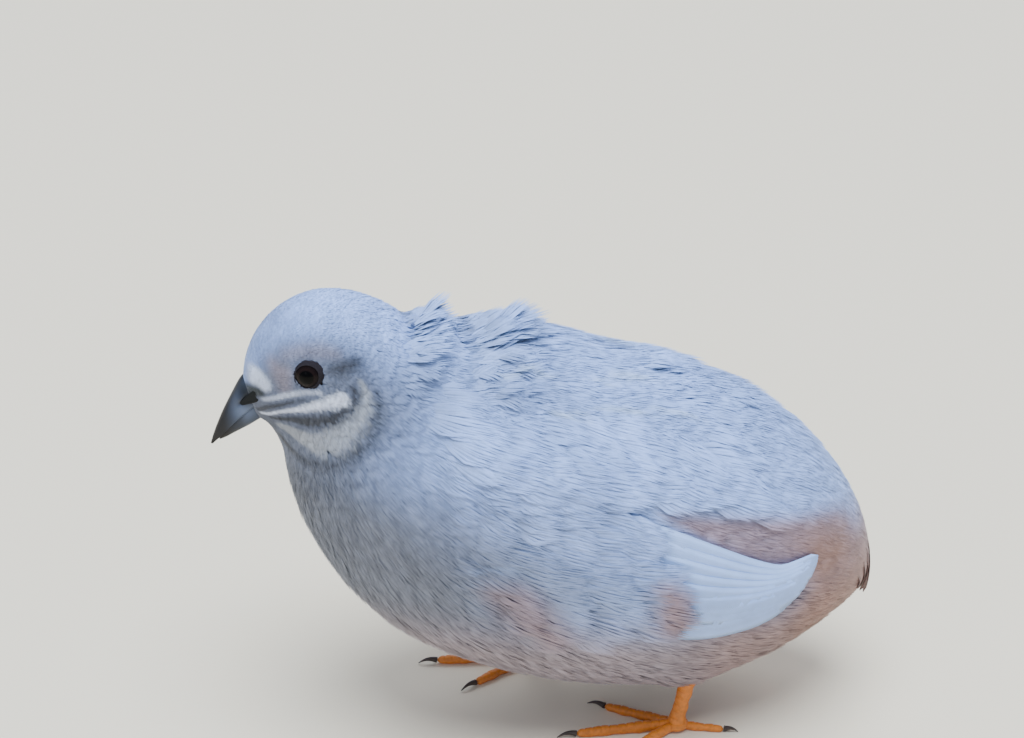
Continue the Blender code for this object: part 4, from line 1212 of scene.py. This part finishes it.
class QUAIL_OT_bill(bpy.types.Operator):
    """Both halves of the bill, with nostrils under their flaps"""

    bl_idname = "quail.bill"
    bl_label = "Bill"

    def execute(self, context):
        for name, table, opening in (("bill_horn_upper", BILL_UPPER, -1), ("bill_horn_lower", BILL_LOWER, 1)):
            points, faces = bill_half(table, opening)
            if opening < 0:
                offset = points[:, (0, 2)] - np.array(NOSTRIL)
                axis = np.array((-0.62, -0.78))
                s, t = offset @ axis, offset @ np.array((0.78, -0.62))
                flap = np.exp(-((s / 1.2) ** 2 + ((t + 0.25) / 0.5) ** 2))
                slit = np.exp(-((s / 0.9) ** 2 + ((t - 0.35) / 0.22) ** 2))
                push = (0.28 * flap - 0.5 * slit) * (np.abs(points[:, 1]) > 0.8)
                points[:, 1] += np.sign(points[:, 1]) * push
            mesh = triangle_mesh(name, points, outward(points, faces))
            x, z = points[:, 0], points[:, 2]
            tone = np.broadcast_to(linear("3A4150"), points.shape).copy()
            # Partly the bill's own blue-grey and partly a painted highlight on its side near the gape.
            tone = blend(tone, linear("68758F"), 0.8 * np.exp(-(((x + 45.2) / 1.7) ** 2) - ((z - 55.6) / 1.5) ** 2))
            tone = blend(tone, linear("17181D"), 0.85 * ease(1.4, 0.3, np.abs(points[:, 1])))
            tone = blend(tone, linear("171312"), 0.9 * ease(-46.2, -48.8, x))
            if opening > 0:
                tone = blend(tone, linear("171312"), 0.5 * ease(-44.5, -46.5, x))
            tone = blend(tone, linear("14171A"), 0.85 * np.exp(-(((x + 45.2) / 1.4) ** 2) - ((z - 58.9) / 1.5) ** 2))
            if opening < 0:
                # Painted shade inside the nostril opening, near black.
                tone = blend(tone, linear("101010"), np.clip(1.4 * slit, 0, 1))
            paint(mesh, tone)
            piece = finish(new_object(name, mesh), bpy.data.materials["bill_keratin"])
            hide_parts("bill_upper" if opening < 0 else "bill_lower")
        for name, side in SIDES.items():
            self.nostril_flap(name, side)
        return {"FINISHED"}

    def nostril_flap(self, name, side):
        """A dark leathery flap from the bill's base onto the lore, with its lower lip rolled over the nostril."""
        face, out = side_point(*FLAP_BACK, side)
        front, back = Vector((FLAP_FRONT[0], side * FLAP_FRONT[1], FLAP_FRONT[2])), face - out * 0.4
        ahead = (front - back).normalized()
        out = (out + Vector((-0.5, side * 1.0, 0.0))).normalized()
        up = ahead.cross(out).normalized()
        if up.z < 0:
            up = -up
        bpy.ops.object.select_all(action="DESELECT")
        bpy.ops.mesh.primitive_uv_sphere_add(segments=40, ring_count=28, radius=1.0)
        flap = context_object()
        ball = np.array([v.co for v in flap.data.vertices])
        lip = 0.35 * np.exp(-(((ball[:, 1] + 0.75) / 0.3) ** 2)) * (ball[:, 2] > 0)
        height = ball[:, 1] * (0.78 - 0.42 * ball[:, 0]) - 0.25 * ball[:, 0]
        middle = np.array((front + back) / 2)
        half = (front - back).length / 2 + 0.5
        points = middle + np.outer(ball[:, 0] * half, ahead) + np.outer(height, up)
        points += np.outer(ball[:, 2] * np.where(ball[:, 2] < 0, 1.5, 0.2) + lip * 0.35, out)
        flap.data.vertices.foreach_set("co", packed(points).astype(np.float32).ravel())
        select_only(flap)
        bpy.ops.object.mode_set(mode="EDIT")
        bpy.ops.mesh.select_all(action="SELECT")
        bpy.ops.mesh.normals_make_consistent(inside=False)
        bpy.ops.object.mode_set(mode="OBJECT")
        flap.data.shade_smooth()
        flap.name = "nostril_flap_" + name
        finish(flap, bpy.data.materials["nostril_skin"])
        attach(flap, "root")


FEET = {"left": (19.6, -11.0), "right": (0.0, 11.5)}
TOES = {
    "inner": (-33.0, 12.2, 0.95),
    "middle": (2.0, 15.8, 1.05),
    "outer": (36.0, 12.8, 0.95),
    "hind": (166.0, 7.4, 0.8),
}
TOE_KNUCKLES = (1.0, 0.9, 0.82, 0.92, 0.78, 0.72, 0.84, 0.7, 0.62)
SHANK_TOPS = {"left": (21.4, 8.4), "right": (2.4, 10.0)}


def scaly_bar(start, end, radii, scute, segments=28, per=9, low=0.0):
    """A toe or shank along a line with raised scutes over its front and small pads below."""
    start, end = np.array(start, float), np.array(end, float)
    length = np.linalg.norm(end - start)
    scutes = max(2, round(length / scute))
    rows = scutes * per + 1
    share = np.linspace(0, 1, rows)
    line = start + (end - start) * share[:, None]
    radius = np.interp(share, np.linspace(0, 1, len(radii)), radii)
    phase = (share * scutes) % 1.0
    step = 1 - 0.16 * np.exp(-((phase / 0.12) ** 2)) - 0.16 * np.exp(-(((1 - phase) / 0.07) ** 2))
    angle = np.arange(segments) / segments * 2 * np.pi
    front = np.clip(np.sin(angle), 0, 1) ** 0.5
    swell = 1 + (step[:, None] - 1) * front[None, :]
    pads = 1 + 0.07 * np.sin(2 * np.pi * share * scutes * 0.5)[:, None] * np.clip(-np.sin(angle), 0, 1)[None, :]
    rounded = np.sqrt(np.clip(1 - (np.clip((share - 0.94) / 0.06, 0, 1)) ** 2, 0.08, 1))
    return line, radius[:, None] * swell * pads * rounded[:, None], segments


class QUAIL_OT_legs(bpy.types.Operator):
    """Bare shanks and feet with scutes, and their claws"""

    bl_idname = "quail.legs"
    bl_label = "Legs"

    def execute(self, context):
        for name, side in SIDES.items():
            x, y = FEET[name]
            centre = np.array((x, y, 0.0))
            shapes = []
            for toe, (heading, length, radius) in TOES.items():
                angle = math.radians(heading)
                ahead = np.array((-math.cos(angle), side * math.sin(angle), 0))
                start = centre + np.array((0, 0, radius * 0.9))
                end = centre + ahead * length + np.array((0, 0, radius * 0.56))
                line, radii, segments = scaly_bar(start, end, radius * np.array(TOE_KNUCKLES), 1.35)
                points, faces = sweep(line, radii, segments)
                points[:, 2] = np.maximum(points[:, 2], 0.0)
                shapes.append((points, faces))
                self.claw(name, toe, centre, ahead, length, radius)
            top_x, top_z = SHANK_TOPS[name]
            top = np.array((top_x, y, top_z + 1.2))
            bottom = centre + np.array((0, 0, 1.0))
            line, radii, segments = scaly_bar(bottom, top, (1.5, 1.2, 1.15, 1.25, 1.5), 1.2)
            shapes.append(sweep(line, radii, segments, up=(-1, 0, 0)))
            pad = np.linspace(-1, 1, 24)
            line = centre + np.stack([0 * pad, 0 * pad, 0.9 + 0.9 * pad], 1)
            shapes.append(sweep(line, 2.0 * np.sqrt(np.clip(1 - pad**2, 0.004, 1)), 36, up=(-1, 0, 0)))
            mesh = join("leg_" + name, shapes)
            leg = finish(new_object("leg_" + name, mesh), bpy.data.materials["leg_scutes"])
            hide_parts("foot_" + name, "shank_" + name)
        return {"FINISHED"}

    def claw(self, name, toe, centre, ahead, length, radius):
        rows = 22
        size = 3.0 * (0.75 if toe == "hind" else 1.0)
        share = np.linspace(0, 1, rows)
        radii = 0.5 * (1 - 0.86 * share)
        root_z = radius * 0.6
        low = 0.12 + radii
        height = np.maximum(low, root_z + 0.28 * np.sin(np.pi * share) - (root_z - low) * share**1.5)
        line = centre + ahead * (length + 0.1 + size * share)[:, None]
        line[:, 2] = height
        points, faces = sweep(line, radii, 20)
        piece = finish(
            new_object(f"claw_horn_{name}_{toe}", join("claw", [(points, faces)])), bpy.data.materials["claw_keratin"]
        )
        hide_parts(f"claw_{name}_{toe}")


def eye_material():
    """A dark brown iris and black pupil under a wet clear cornea."""
    made, tree, shader = new_material("eye")
    ring = add_node(tree, "ShaderNodeAttribute", {"attribute_name": "pupil"})
    ramp = add_node(tree, "ShaderNodeValToRGB", {}, {"Fac": add_node(
        tree, "ShaderNodeMath", {"operation": "MULTIPLY", 1: 0.3}, {0: ring.outputs["Fac"]}
    ).outputs[0]})
    stops = ((0.0, "030202"), (0.3, "040303"), (0.36, "1B1110"), (0.46, "150D0D"), (0.54, "060404"), (1.0, "050404"))
    for position, code in stops[1:-1]:
        ramp.color_ramp.elements.new(position)
    for element, (position, code) in zip(ramp.color_ramp.elements, stops):
        element.position = position
        element.color = (*linear(code), 1)
    tree.links.new(ramp.outputs["Color"], shader.inputs["Base Color"])
    set_shader(shader, Roughness=0.2, Specular_IOR_Level=0.09)
    return made


def horn_material():
    """Bill horn: keratin with a dull shine and a faint fine grain."""
    made, tree, shader = new_material("bill_keratin")
    tone = add_node(tree, "ShaderNodeAttribute", {"attribute_name": "plumage"})
    spots = add_node(tree, "ShaderNodeTexCoord")
    grain = add_node(
        tree, "ShaderNodeTexNoise", {"Scale": 1600.0, "Detail": 4.0}, {"Vector": spots.outputs["Object"]}
    )
    bump = add_node(tree, "ShaderNodeBump", {"Strength": 0.2, "Distance": 0.0001}, {"Height": grain.outputs["Fac"]})
    tree.links.new(tone.outputs["Color"], shader.inputs["Base Color"])
    tree.links.new(bump.outputs["Normal"], shader.inputs["Normal"])
    set_shader(shader, Roughness=0.42, Specular_IOR_Level=0.3)
    return made


class QUAIL_OT_materials(bpy.types.Operator):
    """The materials that the pieces share"""

    bl_idname = "quail.materials"
    bl_label = "Materials"

    def execute(self, context):
        contour_feather_material()
        vane_material()
        eye_material()
        horn_material()
        plain_material("lid_skin", "262226", 0.75, 0.3, 0.05, 0.15, Specular_IOR_Level=0.15)
        plain_material("leg_scutes", "CE7629", 0.45, 0.6, 0.05, 0.18)
        plain_material("nostril_skin", "0D1012", 0.7, 0.25, 0.04, 0.2, Specular_IOR_Level=0.2)
        plain_material("claw_keratin", "43362E", 0.4, 0.8, 0.02, 0.2)
        plain_material("studio_floor", "EADAC1", 0.9)
        return {"FINISHED"}


CAMERA_AT = (-52.0, -398.8, 265.5)
CAMERA_AHEAD = (0.1041, 0.8834, -0.4568)
CAMERA_LENS = 105.47


class QUAIL_OT_stage(bpy.types.Operator):
    """Pale floor, soft lights and the camera"""

    bl_idname = "quail.stage"
    bl_label = "Stage"

    def execute(self, context):
        bpy.ops.object.select_all(action="DESELECT")
        bpy.ops.mesh.primitive_plane_add(size=6.0, location=(0, 0, 0))
        floor = context.object
        floor.name = "floor"
        finish(floor, bpy.data.materials["studio_floor"])
        lights = (
            ("key", (0.0, -0.25, 1.3), 1.0, 36.0),
            ("catch", (-0.6, -0.9, 0.62), 0.2, 0.3),
            ("fill", (-0.7, -0.9, 0.5), 0.9, 2.5),
            ("back", (0.1, 0.9, 1.0), 0.9, 9.0),
        )
        for name, place, size, power in lights:
            bpy.ops.object.light_add(type="AREA", location=place)
            lamp = context.object
            lamp.name = name
            lamp.data.shape = "DISK"
            lamp.data.size = size
            lamp.data.energy = power
            lamp.data.color = (0.77, 0.885, 1.0)
            lamp.visible_glossy = name == "catch"
            lamp.rotation_euler = (Vector((0, 0, 0.03)) - Vector(place)).to_track_quat("-Z", "Y").to_euler()
        world = bpy.data.worlds.new("studio")
        world.use_nodes = True
        world.node_tree.nodes["Background"].inputs["Color"].default_value = (*linear("CCDCFA"), 1)
        world.node_tree.nodes["Background"].inputs["Strength"].default_value = 0.7
        context.scene.world = world
        bpy.ops.object.camera_add()
        camera = context.object
        camera.name = "camera"
        camera.location = Vector(packed(np.array(CAMERA_AT)))
        camera.rotation_euler = Vector(CAMERA_AHEAD).to_track_quat("-Z", "Y").to_euler()
        camera.data.lens = CAMERA_LENS
        camera.data.sensor_width = 36.0
        camera.data.clip_start = 0.01
        context.scene.camera = camera
        return {"FINISHED"}


class QUAIL_PT_panel(bpy.types.Panel):
    """Lists the pieces in the sidebar"""

    bl_idname = "QUAIL_PT_panel"
    bl_label = "Quail"
    bl_space_type = "VIEW_3D"
    bl_region_type = "UI"
    bl_category = "Quail"

    def draw(self, context):
        for group in (context.scene.quail_sizes, context.scene.quail_colours):
            for name in group.bl_rna.properties.keys():
                if name not in ("rna_type", "name"):
                    self.layout.prop(group, name)
        for operator in OPERATORS:
            self.layout.operator(operator.bl_idname)


OPERATORS = (
    QUAIL_OT_materials,
    QUAIL_OT_skin,
    QUAIL_OT_coat,
    QUAIL_OT_wings,
    QUAIL_OT_tail,
    QUAIL_OT_eyes,
    QUAIL_OT_bill,
    QUAIL_OT_legs,
    QUAIL_OT_stage,
)
CLASSES = (QuailSizes, QuailColours, *OPERATORS, QUAIL_PT_panel)


def register():
    for cls in CLASSES:
        bpy.utils.register_class(cls)
    bpy.types.Scene.quail_sizes = PointerProperty(type=QuailSizes)
    bpy.types.Scene.quail_colours = PointerProperty(type=QuailColours)


def unregister():
    del bpy.types.Scene.quail_sizes
    del bpy.types.Scene.quail_colours
    for cls in reversed(CLASSES):
        bpy.utils.unregister_class(cls)


def main():
    register()
    for operator in OPERATORS:
        group, name = operator.bl_idname.split(".")
        getattr(getattr(bpy.ops, group), name)()


if __name__ == "__main__":
    main()
